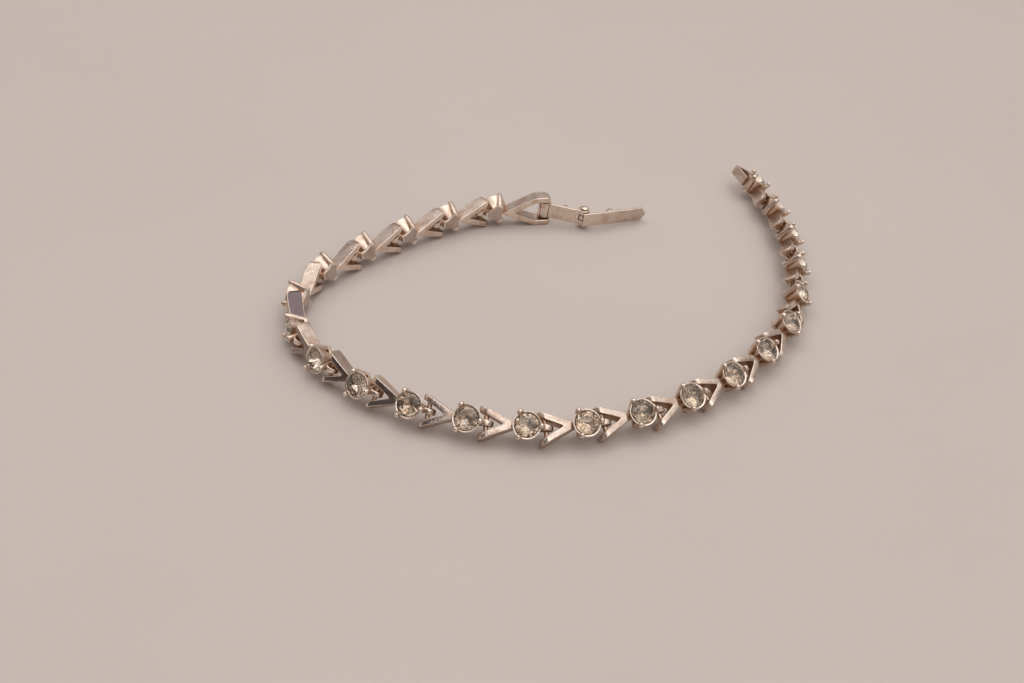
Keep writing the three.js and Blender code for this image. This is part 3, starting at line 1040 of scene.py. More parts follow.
@dataclass
class Wiring:
    """Makes and joins the nodes of one node tree."""

    tree: bpy.types.NodeTree

    def node(self, kind: str, inputs: dict | None = None, **settings: object) -> bpy.types.Node:
        """Adds a node.

        Args:
            kind: The node's type, without the ShaderNode prefix where it has one.
            inputs: Values or output sockets for its inputs, by name or number.
            settings: The node's own properties.

        Returns:
            The node.
        """
        made = self.tree.nodes.new(kind if kind.startswith("NodeGroup") else "ShaderNode" + kind)
        for name, value in settings.items():
            setattr(made, name, value)
        for name, value in (inputs or {}).items():
            if isinstance(value, bpy.types.NodeSocket):
                self.tree.links.new(value, made.inputs[name])
            else:
                made.inputs[name].default_value = value
        return made

    def math(self, operation: str, a: object, b: object, c: object = 0.0,
             clamp: bool = False) -> bpy.types.NodeSocket:
        """The result of one sum on two or three values or sockets."""
        return self.node("Math", {0: a, 1: b, 2: c}, operation=operation, use_clamp=clamp).outputs[0]

    def ramp(self, value: object, low: float, high: float, to_low: float = 0.0,
             to_high: float = 1.0) -> bpy.types.NodeSocket:
        """A value eased from one range to another."""
        made = self.node("MapRange", {"Value": value, "From Min": low, "From Max": high,
                                      "To Min": to_low, "To Max": to_high}, interpolation_type="SMOOTHSTEP")
        return made.outputs["Result"]

    def blend(self, factor: object, a: object, b: object) -> bpy.types.NodeSocket:
        """A colour between two colours.

        Args:
            factor: How far it lies from the first to the second.
            a: The first colour.
            b: The second colour.

        Returns:
            The colour's socket.
        """
        made = self.node("Mix", data_type="RGBA")
        for socket, value in ((made.inputs[0], factor), (made.inputs[6], a), (made.inputs[7], b)):
            if isinstance(value, bpy.types.NodeSocket):
                self.tree.links.new(value, socket)
            else:
                socket.default_value = value
        return made.outputs[2]


def group_tree(name: str, inputs: dict[str, float], outputs: tuple[str, ...]) -> tuple:
    """An empty shader node group with named sockets.

    Args:
        name: The group's name.
        inputs: Each input's name and default.
        outputs: Each output's name.

    Returns:
        The wiring of the group, its inputs node and its outputs node.
    """
    tree = bpy.data.node_groups.new(name, "ShaderNodeTree")
    for socket, value in inputs.items():
        made = tree.interface.new_socket(socket, in_out="INPUT", socket_type="NodeSocketFloat")
        made.default_value = value
    for socket in outputs:
        tree.interface.new_socket(socket, in_out="OUTPUT", socket_type="NodeSocketFloat")
    wiring = Wiring(tree)
    return wiring, wiring.node("NodeGroupInput"), wiring.node("NodeGroupOutput")


def cast_skin_group() -> bpy.types.NodeTree:
    """The skin of a cast and tumbled surface: a slow ripple with a finer grain on it, and soft smudges.

    Returns:
        The group.
    """
    wiring, given, result = group_tree("cast skin", {
        "Ripple Scale": 900.0,
        "Grain Scale": 5500.0,
        "Grain Share": 0.26,
        "Smudge Scale": 500.0,
        "Smudge From": 0.35,
        "Smudge To": 0.68,
    }, ("Height", "Smudge"))
    place = wiring.node("TexCoord").outputs["Object"]
    ripple = wiring.node("TexNoise", {"Vector": place, "Scale": given.outputs["Ripple Scale"], "Detail": 2.0})
    grain = wiring.node("TexNoise", {"Vector": place, "Scale": given.outputs["Grain Scale"], "Detail": 3.0})
    smudge = wiring.node("TexNoise", {"Vector": place, "Scale": given.outputs["Smudge Scale"],
                                      "Detail": 4.0, "Roughness": 0.65})
    fine = wiring.math("MULTIPLY", grain.outputs[0], given.outputs["Grain Share"])
    height = wiring.math("ADD", ripple.outputs[0], fine)
    wiring.tree.links.new(height, result.inputs["Height"])
    smudged = wiring.ramp(smudge.outputs[0], given.outputs["Smudge From"], given.outputs["Smudge To"])
    wiring.tree.links.new(smudged, result.inputs["Smudge"])
    return wiring.tree


def tarnish_and_shade_group() -> bpy.types.NodeTree:
    """Where tarnish and painted shade gather: a mask of recesses from ambient occlusion, broken up by noise,
    and a mask of loose patches.

    Returns:
        The group.
    """
    wiring, given, result = group_tree("tarnish_and_shade_masks", {
        "Reach": 0.0015,
        "Recess From": 0.10,
        "Recess To": 0.60,
        "Break Scale": 1500.0,
        "Break": 0.6,
        "Patch Scale": 650.0,
        "Patch Level": 0.47,
        "Patch Softness": 0.14,
    }, ("Shaded Recess", "Patch"))
    place = wiring.node("TexCoord").outputs["Object"]
    # Ambient occlusion marks the recesses, which take tarnish and painted shade.
    shelter = wiring.node("AmbientOcclusion", {"Distance": given.outputs["Reach"]}, samples=8)
    noise = wiring.node("TexNoise", {"Vector": place, "Scale": given.outputs["Break Scale"],
                                     "Detail": 3.0, "Roughness": 0.6})
    depth = wiring.math("SUBTRACT", 1.0, shelter.outputs["AO"])
    centred = wiring.math("SUBTRACT", noise.outputs[0], 0.5)
    broken = wiring.math("MULTIPLY_ADD", centred, given.outputs["Break"], depth)
    shaded_recess = wiring.ramp(broken, given.outputs["Recess From"], given.outputs["Recess To"])
    patches = wiring.node("TexNoise", {"Vector": place, "Scale": given.outputs["Patch Scale"],
                                       "Detail": 5.0, "Roughness": 0.7})
    high = wiring.math("ADD", given.outputs["Patch Level"], given.outputs["Patch Softness"])
    patch = wiring.ramp(patches.outputs[0], given.outputs["Patch Level"], high)
    wiring.tree.links.new(shaded_recess, result.inputs["Shaded Recess"])
    wiring.tree.links.new(patch, result.inputs["Patch"])
    return wiring.tree


@dataclass
class Effects:
    """The node groups that several finishes use."""

    cast_skin: bpy.types.NodeTree = field(default_factory=cast_skin_group)
    tarnish_and_shade_masks: bpy.types.NodeTree = field(default_factory=tarnish_and_shade_group)


def new_material(name: str) -> tuple[bpy.types.Material, Wiring, bpy.types.Node]:
    """A material with a bare Principled shader.

    Args:
        name: The material's name.

    Returns:
        The material, its wiring and its shader.
    """
    material = bpy.data.materials.new(name)
    material.use_nodes = True
    wiring = Wiring(material.node_tree)
    return material, wiring, material.node_tree.nodes["Principled BSDF"]


@dataclass(frozen=True)
class SilverFinish:
    """Worn silver plate on cast metal: polished on its front and back, frosty on its sides, brown in its
    recesses with tarnish and painted shade, brassy where the plate has thinned, grey where it is stained and
    where a dark reflection is painted, and lighter on its rims with a painted highlight.

    Attributes:
        plate: Colour of the plate.
        brass: Colour where the plate has thinned.
        tarnish_and_shade_brown: Colour in the recesses, tarnish and painted shade together.
        stain_and_reflection_grey: Colour of a stain, and of the dark reflection painted on star plates and
            chevrons.
        painted_highlight: Painted highlight colour of the rims between a piece's sides and its front or back.
        smooth: Roughness of the polished faces.
        frosty: Roughness of the sides.
        matt: Roughness that tarnish adds.
        bump: Strength of the relief.
        bump_depth: Its depth, in metres.
        tarnish_and_shade_share: How far the recesses take the brown of tarnish and painted shade.
        patch_share: How far the thin patches take the brass colour.
        rim_highlight_share: How far the rims take the painted highlight.
        rim_highlight_begins: How squarely a place faces front or back where the highlighted rims begin, from
            and to.
        rim_highlight_ends: The same where they end.
        face_begins: The same where the polished faces begin.
    """

    name: str = "worn silver"
    plate: tuple = (0.76, 0.64, 0.55, 1)
    brass: tuple = (0.57, 0.40, 0.30, 1)
    tarnish_and_shade_brown: tuple = (0.54, 0.365, 0.245, 1)
    stain_and_reflection_grey: tuple = (0.10, 0.076, 0.088, 1)
    painted_highlight: tuple = (0.86, 0.77, 0.69, 1)
    smooth: float = 0.09
    frosty: float = 0.25
    matt: float = 0.15
    bump: float = 1.0
    bump_depth: float = 0.00007
    tarnish_and_shade_share: float = 0.85
    patch_share: float = 0.7
    rim_highlight_share: float = 0.8
    rim_highlight_begins: tuple[float, float] = (0.42, 0.58)
    rim_highlight_ends: tuple[float, float] = (0.88, 0.98)
    face_begins: tuple[float, float] = (0.55, 0.95)

    def build(self, effects: Effects) -> bpy.types.Material:
        """The material, which reads how polished a place is and how far it is stained and painted with dark
        reflection, from two attributes.

        Args:
            effects: The shared node groups.

        Returns:
            The material.
        """
        material, wiring, shader = new_material(self.name)
        skin_node = wiring.node("Group", node_tree=effects.cast_skin)
        tarnish_and_shade_masks = wiring.node("Group", node_tree=effects.tarnish_and_shade_masks)
        polish = wiring.node("Attribute", attribute_name=POLISH).outputs["Fac"]
        stain_and_dark_reflection = wiring.node("Attribute", attribute_name=STAIN_AND_DARK_REFLECTION).outputs["Fac"]
        thin = wiring.math("MULTIPLY", tarnish_and_shade_masks.outputs["Patch"], self.patch_share)
        # Brown in the recesses: tarnish and painted shade together.
        deep = wiring.math("MULTIPLY", tarnish_and_shade_masks.outputs["Shaded Recess"], self.tarnish_and_shade_share)
        plate = wiring.blend(thin, self.plate, self.brass)
        # Painted highlight: the rounded rims between sides and faces are lightened.
        rim = wiring.math("MULTIPLY", wiring.ramp(polish, *self.rim_highlight_begins),
                          wiring.ramp(polish, *self.rim_highlight_ends, 1.0, 0.0))
        within = wiring.math("SUBTRACT", 1.0, rim)
        # Grey for stains and for painted dark reflection, kept off the rims.
        stained = wiring.blend(wiring.math("MULTIPLY", stain_and_dark_reflection, within), plate, self.stain_and_reflection_grey)
        rim_highlighted = wiring.blend(wiring.math("MULTIPLY", rim, self.rim_highlight_share), stained, self.painted_highlight)
        colour = wiring.blend(deep, rim_highlighted, self.tarnish_and_shade_brown)
        sheen = wiring.ramp(polish, *self.face_begins, self.frosty, self.smooth)
        worn = wiring.math("ADD", skin_node.outputs["Smudge"], deep, clamp=True)
        links = material.node_tree.links
        links.new(colour, shader.inputs["Base Color"])
        links.new(wiring.math("MULTIPLY_ADD", worn, self.matt, sheen), shader.inputs["Roughness"])
        shader.inputs["Metallic"].default_value = 1.0
        relief = wiring.node("Bump", {"Strength": self.bump, "Distance": self.bump_depth,
                                      "Height": skin_node.outputs["Height"]})
        links.new(relief.outputs["Normal"], shader.inputs["Normal"])
        return material


@dataclass(frozen=True)
class CrystalFinish:
    """Clear glass, a little yellowed, with handling smudges on its facets.

    Attributes:
        smooth: Roughness of the clean facets.
        smudged: Roughness under a smudge.
        smudge_scale: Smudges a metre.
        smudge_from: How smudged a place is before it shows.
    """

    name: str = "clear stone"
    tint: tuple = (1.0, 0.975, 0.94, 1)
    ior: float = 1.58
    smooth: float = 0.0
    smudged: float = 0.05
    smudge_scale: float = 900.0
    smudge_from: float = 0.4

    def build(self, effects: Effects) -> bpy.types.Material:
        """The material.

        Args:
            effects: The shared node groups.

        Returns:
            The material.
        """
        material, wiring, shader = new_material(self.name)
        skin_node = wiring.node("Group", {"Smudge Scale": self.smudge_scale}, node_tree=effects.cast_skin)
        shader.inputs["Base Color"].default_value = self.tint
        shader.inputs["IOR"].default_value = self.ior
        shader.inputs["Transmission Weight"].default_value = 1.0
        roughness = wiring.ramp(skin_node.outputs["Smudge"], self.smudge_from, 1, self.smooth, self.smudged)
        material.node_tree.links.new(roughness, shader.inputs["Roughness"])
        return material


@dataclass(frozen=True)
class FoilFinish:
    """The mirror foil on a stone's back, a little dulled, with painted shades on its facets and a few specks
    of painted spectral fire in its colour.

    Attributes:
        roughness: Roughness of the roughest cells.
        crisp: Roughness of the smoothest.
        crisp_share: Share of the cells that are as smooth as that.
        dull: Colour where the foil has dulled.
        dull_share: How far the dulled places take that colour.
        dull_scale: Dulled places a metre.
        mirror: How much of the foil still mirrors.
        cell_scale: Cells a metre that the light breaks up into.
        painted_fire_scale: Cells a metre that may take a painted fire colour.
        painted_fire_from: Share of those cells that stay white.
        painted_fire: How strongly the rest are painted with fire colour.
        painted_fire_hues: The two hues of the painted fire.
        painted_fire_saturation: How saturated these are.
        tilt: How far the cells lean, as the length of what is added to the normal.
    """

    name: str = "stone foil"
    roughness: float = 0.07
    crisp: float = 0.04
    crisp_share: float = 0.2
    dull: tuple = (0.52, 0.43, 0.35, 1)
    dull_share: float = 0.5
    dull_scale: float = 1500.0
    mirror: float = 0.9
    cell_scale: float = 1900.0
    painted_fire_scale: float = 4200.0
    painted_fire_from: float = 0.98
    painted_fire: float = 0.75
    tilt: float = 0.16
    painted_fire_hues: tuple[float, float] = (0.10, 0.59)
    painted_fire_saturation: float = 0.8

    def build(self, effects: Effects) -> bpy.types.Material:
        """The material, which gives each facet its own painted shade and each cell of a cell pattern its own
        lean.

        Args:
            effects: The shared node groups.

        Returns:
            The material.
        """
        material, wiring, shader = new_material(self.name)
        painted_shade = wiring.node("Attribute", attribute_name=PAINTED_SHADE)
        place = wiring.node("TexCoord").outputs["Object"]
        cells = wiring.node("TexVoronoi", {"Vector": place, "Scale": self.cell_scale})
        draw = wiring.node("SeparateColor", {0: cells.outputs["Color"]}).outputs
        lean = wiring.node("VectorMath", {0: cells.outputs["Color"], 1: (0.5, 0.5, 0.5)},
                           operation="SUBTRACT")
        flat = wiring.node("NewGeometry").outputs["Normal"]
        tilted = wiring.node("VectorMath", {0: lean.outputs[0], 1: (self.tilt,) * 3, 2: flat},
                             operation="MULTIPLY_ADD")
        normal = wiring.node("VectorMath", {0: tilted.outputs[0]}, operation="NORMALIZE").outputs[0]
        even_split = (0.499, 0.501)
        painted_fire_hue = wiring.ramp(draw[2], *even_split, *self.painted_fire_hues)
        painted_fire_colour = wiring.node("CombineColor", {0: painted_fire_hue, 1: self.painted_fire_saturation, 2: 1.0}, mode="HSV").outputs[0]
        skin_node = wiring.node("Group", {"Smudge Scale": self.dull_scale}, node_tree=effects.cast_skin)
        # Each facet's painted shade, dulled where the foil is smudged.
        dulled = wiring.blend(wiring.math("MULTIPLY", skin_node.outputs["Smudge"], self.dull_share),
                              painted_shade.outputs["Color"], self.dull)
        # Painted fire: a few cells take a spectral colour, standing in for the stone's dispersed light.
        painted_fire_cells = wiring.node("TexVoronoi", {"Vector": place, "Scale": self.painted_fire_scale})
        painted_fire_draw = wiring.node("SeparateColor", {0: painted_fire_cells.outputs["Color"]}).outputs
        painted_fire_mask = wiring.math("MULTIPLY", wiring.math("GREATER_THAN", painted_fire_draw[1], self.painted_fire_from), self.painted_fire)
        links = material.node_tree.links
        links.new(wiring.blend(painted_fire_mask, dulled, painted_fire_colour), shader.inputs["Base Color"])
        links.new(normal, shader.inputs["Normal"])
        roughness = wiring.ramp(draw[0], self.crisp_share, 1.0, self.crisp, self.roughness)
        links.new(roughness, shader.inputs["Roughness"])
        shader.inputs["Metallic"].default_value = self.mirror
        return material


@dataclass(frozen=True)
class TableFinish:
    """A pale matt table top with a faint mottle.

    Attributes:
        light: Its lighter colour.
        dark: Its darker colour.
        ripple_scale: Ripples a metre.
        grain_scale: Grains a metre.
        mottle_scale: Mottled places a metre.
        bump: Strength of the relief.
        bump_depth: Its depth, in metres.
    """

    name: str = "pale table"
    light: tuple = (0.615, 0.558, 0.518, 1)
    dark: tuple = (0.598, 0.542, 0.503, 1)
    roughness: float = 0.62
    ripple_scale: float = 60.0
    grain_scale: float = 900.0
    mottle_scale: float = 14.0
    bump: float = 0.05
    bump_depth: float = 0.0002

    def build(self, effects: Effects) -> bpy.types.Material:
        """The material.

        Args:
            effects: The shared node groups.

        Returns:
            The material.
        """
        material, wiring, shader = new_material(self.name)
        skin_node = wiring.node("Group", {"Ripple Scale": self.ripple_scale, "Grain Scale": self.grain_scale,
                                          "Smudge Scale": self.mottle_scale}, node_tree=effects.cast_skin)
        links = material.node_tree.links
        mottled = wiring.blend(skin_node.outputs["Smudge"], self.light, self.dark)
        links.new(mottled, shader.inputs["Base Color"])
        shader.inputs["Roughness"].default_value = self.roughness
        relief = wiring.node("Bump", {"Strength": self.bump, "Distance": self.bump_depth,
                                      "Height": skin_node.outputs["Height"]})
        links.new(relief.outputs["Normal"], shader.inputs["Normal"])
        return material


@dataclass
class Finishes:
    """The bracelet's materials."""

    effects: Effects = field(default_factory=Effects)

    def __post_init__(self) -> None:
        """Builds each material once."""
        self.silver = SilverFinish().build(self.effects)
        self.crystal = CrystalFinish().build(self.effects)
        self.foil = FoilFinish().build(self.effects)
        self.table = TableFinish().build(self.effects)


def make_mesh(name: str, surfaces: list[Surface], place: Placement) -> bpy.types.Object:
    """One object of several closed skins, with its place in its mesh.

    Args:
        name: The object's name.
        surfaces: The skins, in the part's own frame.
        place: Where that frame stands.

    Returns:
        The object, at the origin.
    """
    starts = np.cumsum([0] + [len(surface.points) for surface in surfaces[:-1]]).tolist()
    points = np.concatenate([surface.points for surface in surfaces])
    faces = [[corner + start for corner in face]
             for surface, start in zip(surfaces, starts) for face in surface.faces]
    mesh = bpy.data.meshes.new(name)
    mesh.from_pydata(place.put(points).tolist(), [], faces)
    mesh.polygons.foreach_set("material_index", np.concatenate([surface.material for surface in surfaces]))
    mesh.update()
    made = bpy.data.objects.new(name, mesh)
    bpy.context.scene.collection.objects.link(made)
    return made


def metal_piece(name: str, node: str, body: Body, surfaces: list[Surface], place: Placement,
                silver: bpy.types.Material) -> bpy.types.Object:
    """A silver piece in place of one solid, with smooth shading that keeps its flats flat. Two attributes go
    with its points: how squarely each faces front or back, and how stained it is, painted dark reflection
    included.

    Args:
        name: The piece's name.
        node: The solid that it stands for.
        body: What it rides on.
        surfaces: Its skins, in its own frame.
        place: Where that frame stands.
        silver: Its material.

    Returns:
        The piece.
    """
    made = make_mesh(name, surfaces, place)
    made.data.materials.append(silver)
    made.data.shade_smooth()
    made.data.set_sharp_from_angle(angle=math.radians(SHARP_DEGREES))
    normals = np.zeros(len(made.data.vertices) * 3)
    made.data.vertices.foreach_get("normal", normals)
    # Stain values, the painted dark reflection included.
    stain_and_reflection_values = np.concatenate([np.broadcast_to(surface.stain_and_dark_reflection, len(surface.points)) for surface in surfaces])
    add_values(made, POLISH, np.abs(normals.reshape(-1, 3) @ place.axes[1]))
    add_values(made, STAIN_AND_DARK_REFLECTION, stain_and_reflection_values)
    weighted = made.modifiers.new("flat faces first", "WEIGHTED_NORMAL")
    weighted.keep_sharp = True
    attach(made, body.value)
    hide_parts(node)
    report(made, body)
    return made


def add_values(piece: bpy.types.Object, name: str, values: np.ndarray) -> None:
    """Adds one value for each point of a piece, as a named attribute."""
    piece.data.attributes.new(name, "FLOAT", "POINT").data.foreach_set("value", values)


def report(piece: bpy.types.Object, body: Body) -> None:
    """Logs one piece."""
    triangles = sum(len(p.vertices) - 2 for p in piece.data.polygons)
    log.info("%s: %d triangles on %s", piece.name, triangles, body.value)


def painted_facet_shades(stone: Stone, faces: int, number: int) -> np.ndarray:
    """A colour for each facet: mostly bright foil, with a painted darker shade on some.

    Args:
        stone: The stone, which says how dark a facet may be.
        faces: How many facets there are.
        number: The stone's number, which seeds its draw.

    Returns:
        One colour with alpha a facet.
    """
    draw = np.random.default_rng(SHADE_SEED + number).random(faces)
    painted_shade = 1 - (1 - stone.darkest_painted_shade) * draw**2
    return np.concatenate([painted_shade[:, None] * np.array([FOIL_TINT]), np.ones((faces, 1))], axis=1)


def stone_piece(number: int, stone: Stone, place: Placement, finishes: Finishes) -> bpy.types.Object:
    """A faceted stone in place of its solid, with a painted shade on each facet of its foil.

    Args:
        number: The stone's number in the chain.
        stone: Its sizes.
        place: Where its link's frame stands.
        finishes: The bracelet's materials.

    Returns:
        The piece.
    """
    made = make_mesh(f"cut_stone_{number:02d}", [stone.surface()], place)
    made.data.materials.append(finishes.crystal)
    made.data.materials.append(finishes.foil)
    corners = np.array([len(p.vertices) for p in made.data.polygons])
    # A painted shade on each facet, standing in for its light and dark reflections.
    colours = np.repeat(painted_facet_shades(stone, len(corners), number), corners, axis=0)
    layer = made.data.color_attributes.new(PAINTED_SHADE, "FLOAT_COLOR", "CORNER")
    layer.data.foreach_set("color", colours.ravel())
    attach(made, Body.STRAND.value)
    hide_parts(f"stone_{number:02d}")
    report(made, Body.STRAND)
    return made


def link_placement(number: int, stone: Stone) -> Placement:
    """Where a link's frame stands, read off its stone's solid. The table is the direction in which the
    most area faces, its middle is on the stone's axis, and a link's x is always level.

    Args:
        number: The link's number in the chain.
        stone: The stone's sizes.

    Returns:
        The link's placement.
    """
    faces = frame["nodes"][f"stone_{number:02d}"].data.polygons
    normals, centres, areas = np.zeros(len(faces) * 3), np.zeros(len(faces) * 3), np.zeros(len(faces))
    faces.foreach_get("normal", normals)
    faces.foreach_get("center", centres)
    faces.foreach_get("area", areas)
    normals, centres = normals.reshape(-1, 3), centres.reshape(-1, 3)
    _, kind = np.unique(np.round(normals, 2), axis=0, return_inverse=True)
    kind = kind.ravel()
    table = kind == np.argmax(np.bincount(kind, weights=areas))
    y = normals[table].mean(0)
    y /= np.linalg.norm(y)
    x = np.array([y[1], -y[0], 0.0])
    x /= np.linalg.norm(x)
    middle = (centres[table] * areas[table, None]).sum(0) / areas[table].sum()
    return Placement(middle - y * stone.table_level * MM, np.stack([x, y, np.cross(x, y)]))


def clasp_placement(end_link: Placement, end_pin_at: float) -> Placement:
    """Where the clasp's frame stands: on the end link's pin, with x to the hinge and z along its axis.

    Args:
        end_link: The end link's placement.
        end_pin_at: How far its pin stands from its stone's axis.

    Returns:
        The placement of the clasp's base.
    """
    joint = frame["joints"][0]
    origin = end_link.moved(end_pin_at).origin
    z = np.array(joint["axis"], float)
    z *= np.sign(z @ end_link.axes[2]) / np.linalg.norm(z)
    x = np.array(joint["pos_m"], float) - origin
    x -= (x @ z) * z
    x /= np.linalg.norm(x)
    return Placement(origin, np.stack([x, np.cross(z, x), z]))


@dataclass(frozen=True)
class Lamp:
    """A square light turned to face the middle of the table.

    Attributes:
        name: Its name.
        place: Where it hangs, in metres.
        size: Its side.
        power: Its power in watts.
        colour: Its colour.
    """

    name: str
    place: tuple[float, float, float]
    size: float
    power: float
    colour: tuple[float, float, float] = (1.0, 0.96, 0.93)

    def build(self) -> None:
        """Makes the light."""
        light = bpy.data.lights.new(self.name, "AREA")
        light.shape = "SQUARE"
        light.size = self.size
        light.energy = self.power
        light.color = self.colour
        made = bpy.data.objects.new(self.name, light)
        back = np.array(self.place) / np.linalg.norm(self.place)
        side = np.cross([0.0, 1.0, 0.0], back)
        side /= np.linalg.norm(side)
        made.matrix_world = matrix_of(side, np.cross(back, side), back, np.array(self.place))
        bpy.context.scene.collection.objects.link(made)


@dataclass(frozen=True)
class Studio:
    """The table, the soft lights over it and the room that the metal reflects.

    Attributes:
        table_size: Side of the table, in metres.
        lamps: A broad light from behind, a weaker one in front, and three small ones for the stones to
            sparkle with.
        high: The room's colour overhead.
        low: The room's colour at the horizon.
        dim: The colour of the room's dark side.
        dim_ways: Which ways the room's dark parts lie, with the cosines at which each begins and is full.
        blot_scale: How many times the room's furniture breaks up what the metal and the stones mirror.
        blot: What the furniture multiplies the room's colour by.
        blot_span: The noise at which a piece of furniture begins and is full.
        rise_span: The heights at which the overhead colour begins and is full.
        strength: The room's brightness.
    """

    table_size: float = 3.0
    lamps: tuple[Lamp, ...] = (
        Lamp("broad_light", (-0.01, 0.05, 0.28), 0.28, 0.21),
        Lamp("front_light", (0.08, -0.42, 0.48), 0.45, 0.40),
        Lamp("glint_right", (0.14, 0.30, 0.42), 0.045, 0.025),
        Lamp("glint_left", (-0.26, 0.16, 0.44), 0.045, 0.025),
        Lamp("glint_front", (-0.05, -0.10, 0.60), 0.045, 0.025),
    )
    high: tuple = (1.45, 1.375, 1.335, 1)
    low: tuple = (0.58, 0.52, 0.48, 1)
    dim: tuple = (0.17, 0.145, 0.14, 1)
    dim_ways: tuple = ((-0.60, -0.75, 0.28, 0.55, 0.93), (-0.22, 0.04, 0.97, 0.955, 0.985))
    blot_scale: float = 2.2
    blot: tuple = (0.30, 0.26, 0.27, 1)
    blot_span: tuple[float, float] = (0.50, 0.62)
    rise_span: tuple[float, float] = (0.25, 0.95)
    strength: float = 0.86

    def table(self, material: bpy.types.Material) -> None:
        """The table top: one square at the level that the bracelet lies on.

        Args:
            material: What it is made of.
        """
        half = self.table_size / 2
        corners = [(-half, -half, 0), (half, -half, 0), (half, half, 0), (-half, half, 0)]
        mesh = bpy.data.meshes.new("table_top")
        mesh.from_pydata(corners, [], [(0, 1, 2, 3)])
        mesh.materials.append(material)
        made = bpy.data.objects.new("table_top", mesh)
        bpy.context.scene.collection.objects.link(made)

    def room(self) -> None:
        """The room: a colour that rises from the horizon to overhead, broken up by the noise of its
        furniture, and dark on the side that the viewer stands on and in one small part overhead."""
        world = bpy.data.worlds.new("room")
        bpy.context.scene.world = world
        world.use_nodes = True
        wiring = Wiring(world.node_tree)
        way = wiring.node("TexCoord").outputs["Generated"]
        rise = wiring.node("SeparateXYZ", {0: way}).outputs["Z"]
        colour = wiring.blend(wiring.ramp(rise, *self.rise_span), self.low, self.high)
        furniture = wiring.node("TexNoise", {"Vector": way, "Scale": self.blot_scale, "Detail": 3.0})
        covered = wiring.ramp(furniture.outputs[0], *self.blot_span)
        blots = wiring.node("Mix", {0: covered, 6: colour, 7: self.blot},
                            data_type="RGBA", blend_type="MULTIPLY")
        colour = blots.outputs[2]
        for *aim, begin, full in self.dim_ways:
            unit = tuple(np.array(aim) / np.linalg.norm(aim))
            towards = wiring.node("VectorMath", {0: way, 1: unit}, operation="DOT_PRODUCT").outputs["Value"]
            colour = wiring.blend(wiring.ramp(towards, begin, full), colour, self.dim)
        background = world.node_tree.nodes["Background"]
        world.node_tree.links.new(colour, background.inputs["Color"])
        background.inputs["Strength"].default_value = self.strength

    def build(self, table: bpy.types.Material) -> None:
        """Sets up the table, the lights and the room.

        Args:
            table: What the table is made of.
        """
        self.table(table)
        for lamp in self.lamps:
            lamp.build()
        self.room()
        bpy.context.scene.view_settings.view_transform = "Standard"


def matrix_of(x: np.ndarray, y: np.ndarray, z: np.ndarray, origin: np.ndarray) -> Matrix:
    """A transform from three directions and a place.

    Args:
        x: Where its x points.
        y: Where its y points.
        z: Where its z points.
        origin: Its place.

    Returns:
        The transform.
    """
    matrix = np.eye(4)
    matrix[:3, :] = np.stack([x, y, z, origin], axis=1)
    return Matrix(matrix.tolist())


@dataclass(frozen=True)
class Viewpoint:
    """The camera: where it stands, in millimetres, and how it is turned, in degrees.

    Attributes:
        place: Where it stands.
        down: How far it looks down.
        azimuth: How far its aim is turned from +y towards +x.
        roll: How far it is rolled about its aim.
        focal_pixels: Its focal length in pixels of a picture that is picture_width wide.
        picture_width: The picture's width in pixels.
        sensor: The sensor's width, in millimetres.
        nearest: How near the camera sees, in metres.
    """

    place: tuple = (-6.25, -162.77, 119.49)
    down: float = 38.227
    azimuth: float = 0.267
    roll: float = 3.514
    focal_pixels: float = 1426.5
    picture_width: int = 1024
    sensor: float = 36.0
    nearest: float = 0.01

    def build(self) -> None:
        """Makes the camera and makes it the scene's camera."""
        down, azimuth, roll = (math.radians(v) for v in (self.down, self.azimuth, self.roll))
        ahead = np.array([math.sin(azimuth) * math.cos(down), math.cos(azimuth) * math.cos(down),
                          -math.sin(down)])
        level = np.array([math.cos(azimuth), -math.sin(azimuth), 0.0])
        over = np.cross(level, ahead)
        right = math.cos(roll) * level + math.sin(roll) * over
        up = -math.sin(roll) * level + math.cos(roll) * over
        data = bpy.data.cameras.new("camera")
        data.sensor_width = self.sensor
        data.lens = self.focal_pixels / self.picture_width * self.sensor
        data.clip_start = self.nearest
        made = bpy.data.objects.new("camera", data)
        made.matrix_world = matrix_of(right, up, -ahead, np.array(self.place) * MM)
        bpy.context.scene.collection.objects.link(made)
        bpy.context.scene.camera = made


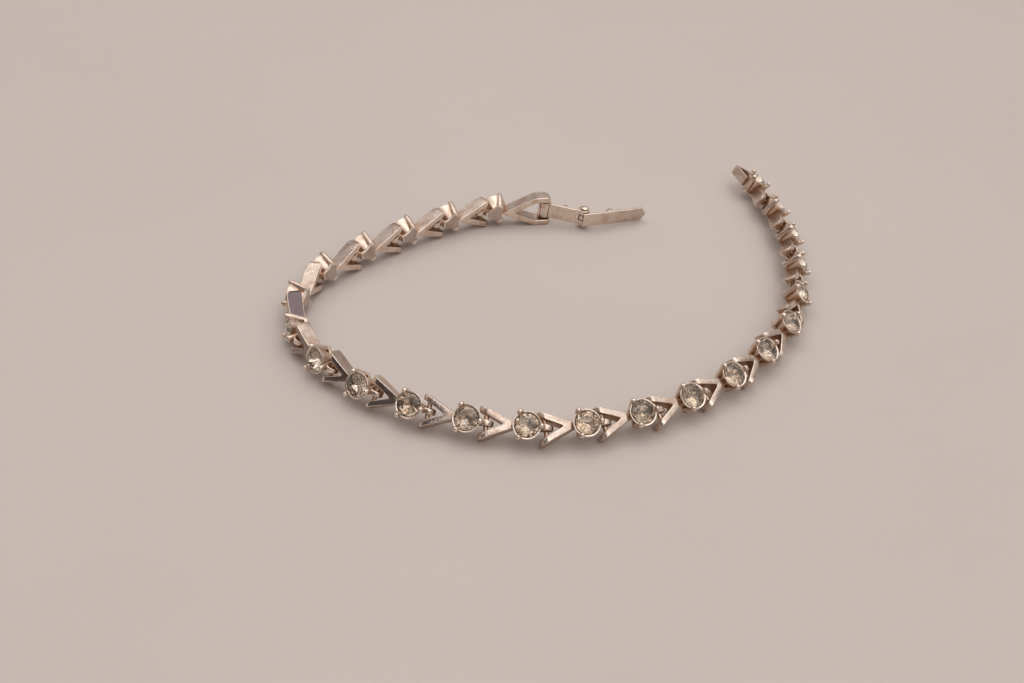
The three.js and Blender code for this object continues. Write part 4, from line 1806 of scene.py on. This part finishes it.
@dataclass
class Bracelet:
    """The whole bracelet: its chain of links and stones, and its clasp.

    Attributes:
        finishes: Its materials.
        stone: The sizes of its stones.
        clasp: The sizes of its clasp.
        dark_reflection_fronts: How dark a reflection is painted on the chevron's front, on the links where it
            shows.
        dark_reflection_walls: How dark a reflection is painted on the chevron's sides, on the links where
            they show.
    """

    finishes: Finishes
    stone: Stone = field(default_factory=Stone)
    clasp: Clasp = field(default_factory=Clasp)
    # Painted dark reflection, given link by link, on the chevrons whose faces mirror something dark.
    dark_reflection_fronts: dict[int, float] = field(
        default_factory=lambda: {12: 0.2, 13: 0.3, 14: 0.5, 15: 0.6, 16: 0.65, 17: 0.5})
    dark_reflection_walls: dict[int, float] = field(
        default_factory=lambda: {15: 0.2, 17: 0.95, 19: 0.4, 20: 0.35, 21: 0.25, 23: 0.2})

    def build_chain(self) -> tuple[Placement, Link]:
        """Builds each link and its stone.

        Returns:
            The end link's placement and its sizes.
        """
        for number in range(1, LINK_COUNT + 1):
            kind = {1: LinkKind.CATCH, LINK_COUNT: LinkKind.END}.get(number, LinkKind.MIDDLE)
            link = Link(kind, front_stain_and_dark_reflection=self.dark_reflection_fronts.get(number, Link.front_stain_and_dark_reflection),
                        wall_stain_and_dark_reflection=self.dark_reflection_walls.get(number, Link.wall_stain_and_dark_reflection))
            place = link_placement(number, self.stone)
            metal_piece(f"casting_{number:02d}", f"link_{number:02d}", Body.STRAND, link.surfaces(), place,
                        self.finishes.silver)
            stone_piece(number, self.stone, place, self.finishes)
        return place, link

    def build_clasp(self, end_place: Placement, end_link: Link) -> None:
        """Builds the clasp on the end link's pin.

        Args:
            end_place: The end link's placement.
            end_link: Its sizes.
        """
        base = clasp_placement(end_place, end_link.end_pin_at)
        hinge = base.moved(self.clasp.base_length)
        silver = self.finishes.silver
        metal_piece("clasp_base_casting", "clasp_base", Body.STRAND, self.clasp.base(), base, silver)
        metal_piece("clasp_hinge_rivet", "hinge_pin", Body.STRAND, self.clasp.hinge_pin(), hinge, silver)
        metal_piece("clasp_arm_casting", "clasp_arm", Body.CLASP_ARM, self.clasp.arm(),
                    hinge.turned(self.clasp.arm_open), silver)

    def build(self) -> None:
        """Builds the chain and the clasp."""
        self.build_clasp(*self.build_chain())


def main() -> None:
    """Builds the camera, the studio and the bracelet."""
    logging.basicConfig(level=logging.INFO, format="%(name)s: %(message)s")
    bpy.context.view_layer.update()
    Viewpoint().build()
    finishes = Finishes()
    Studio().build(finishes.table)
    Bracelet(finishes).build()


if __name__ == "__main__":
    main()
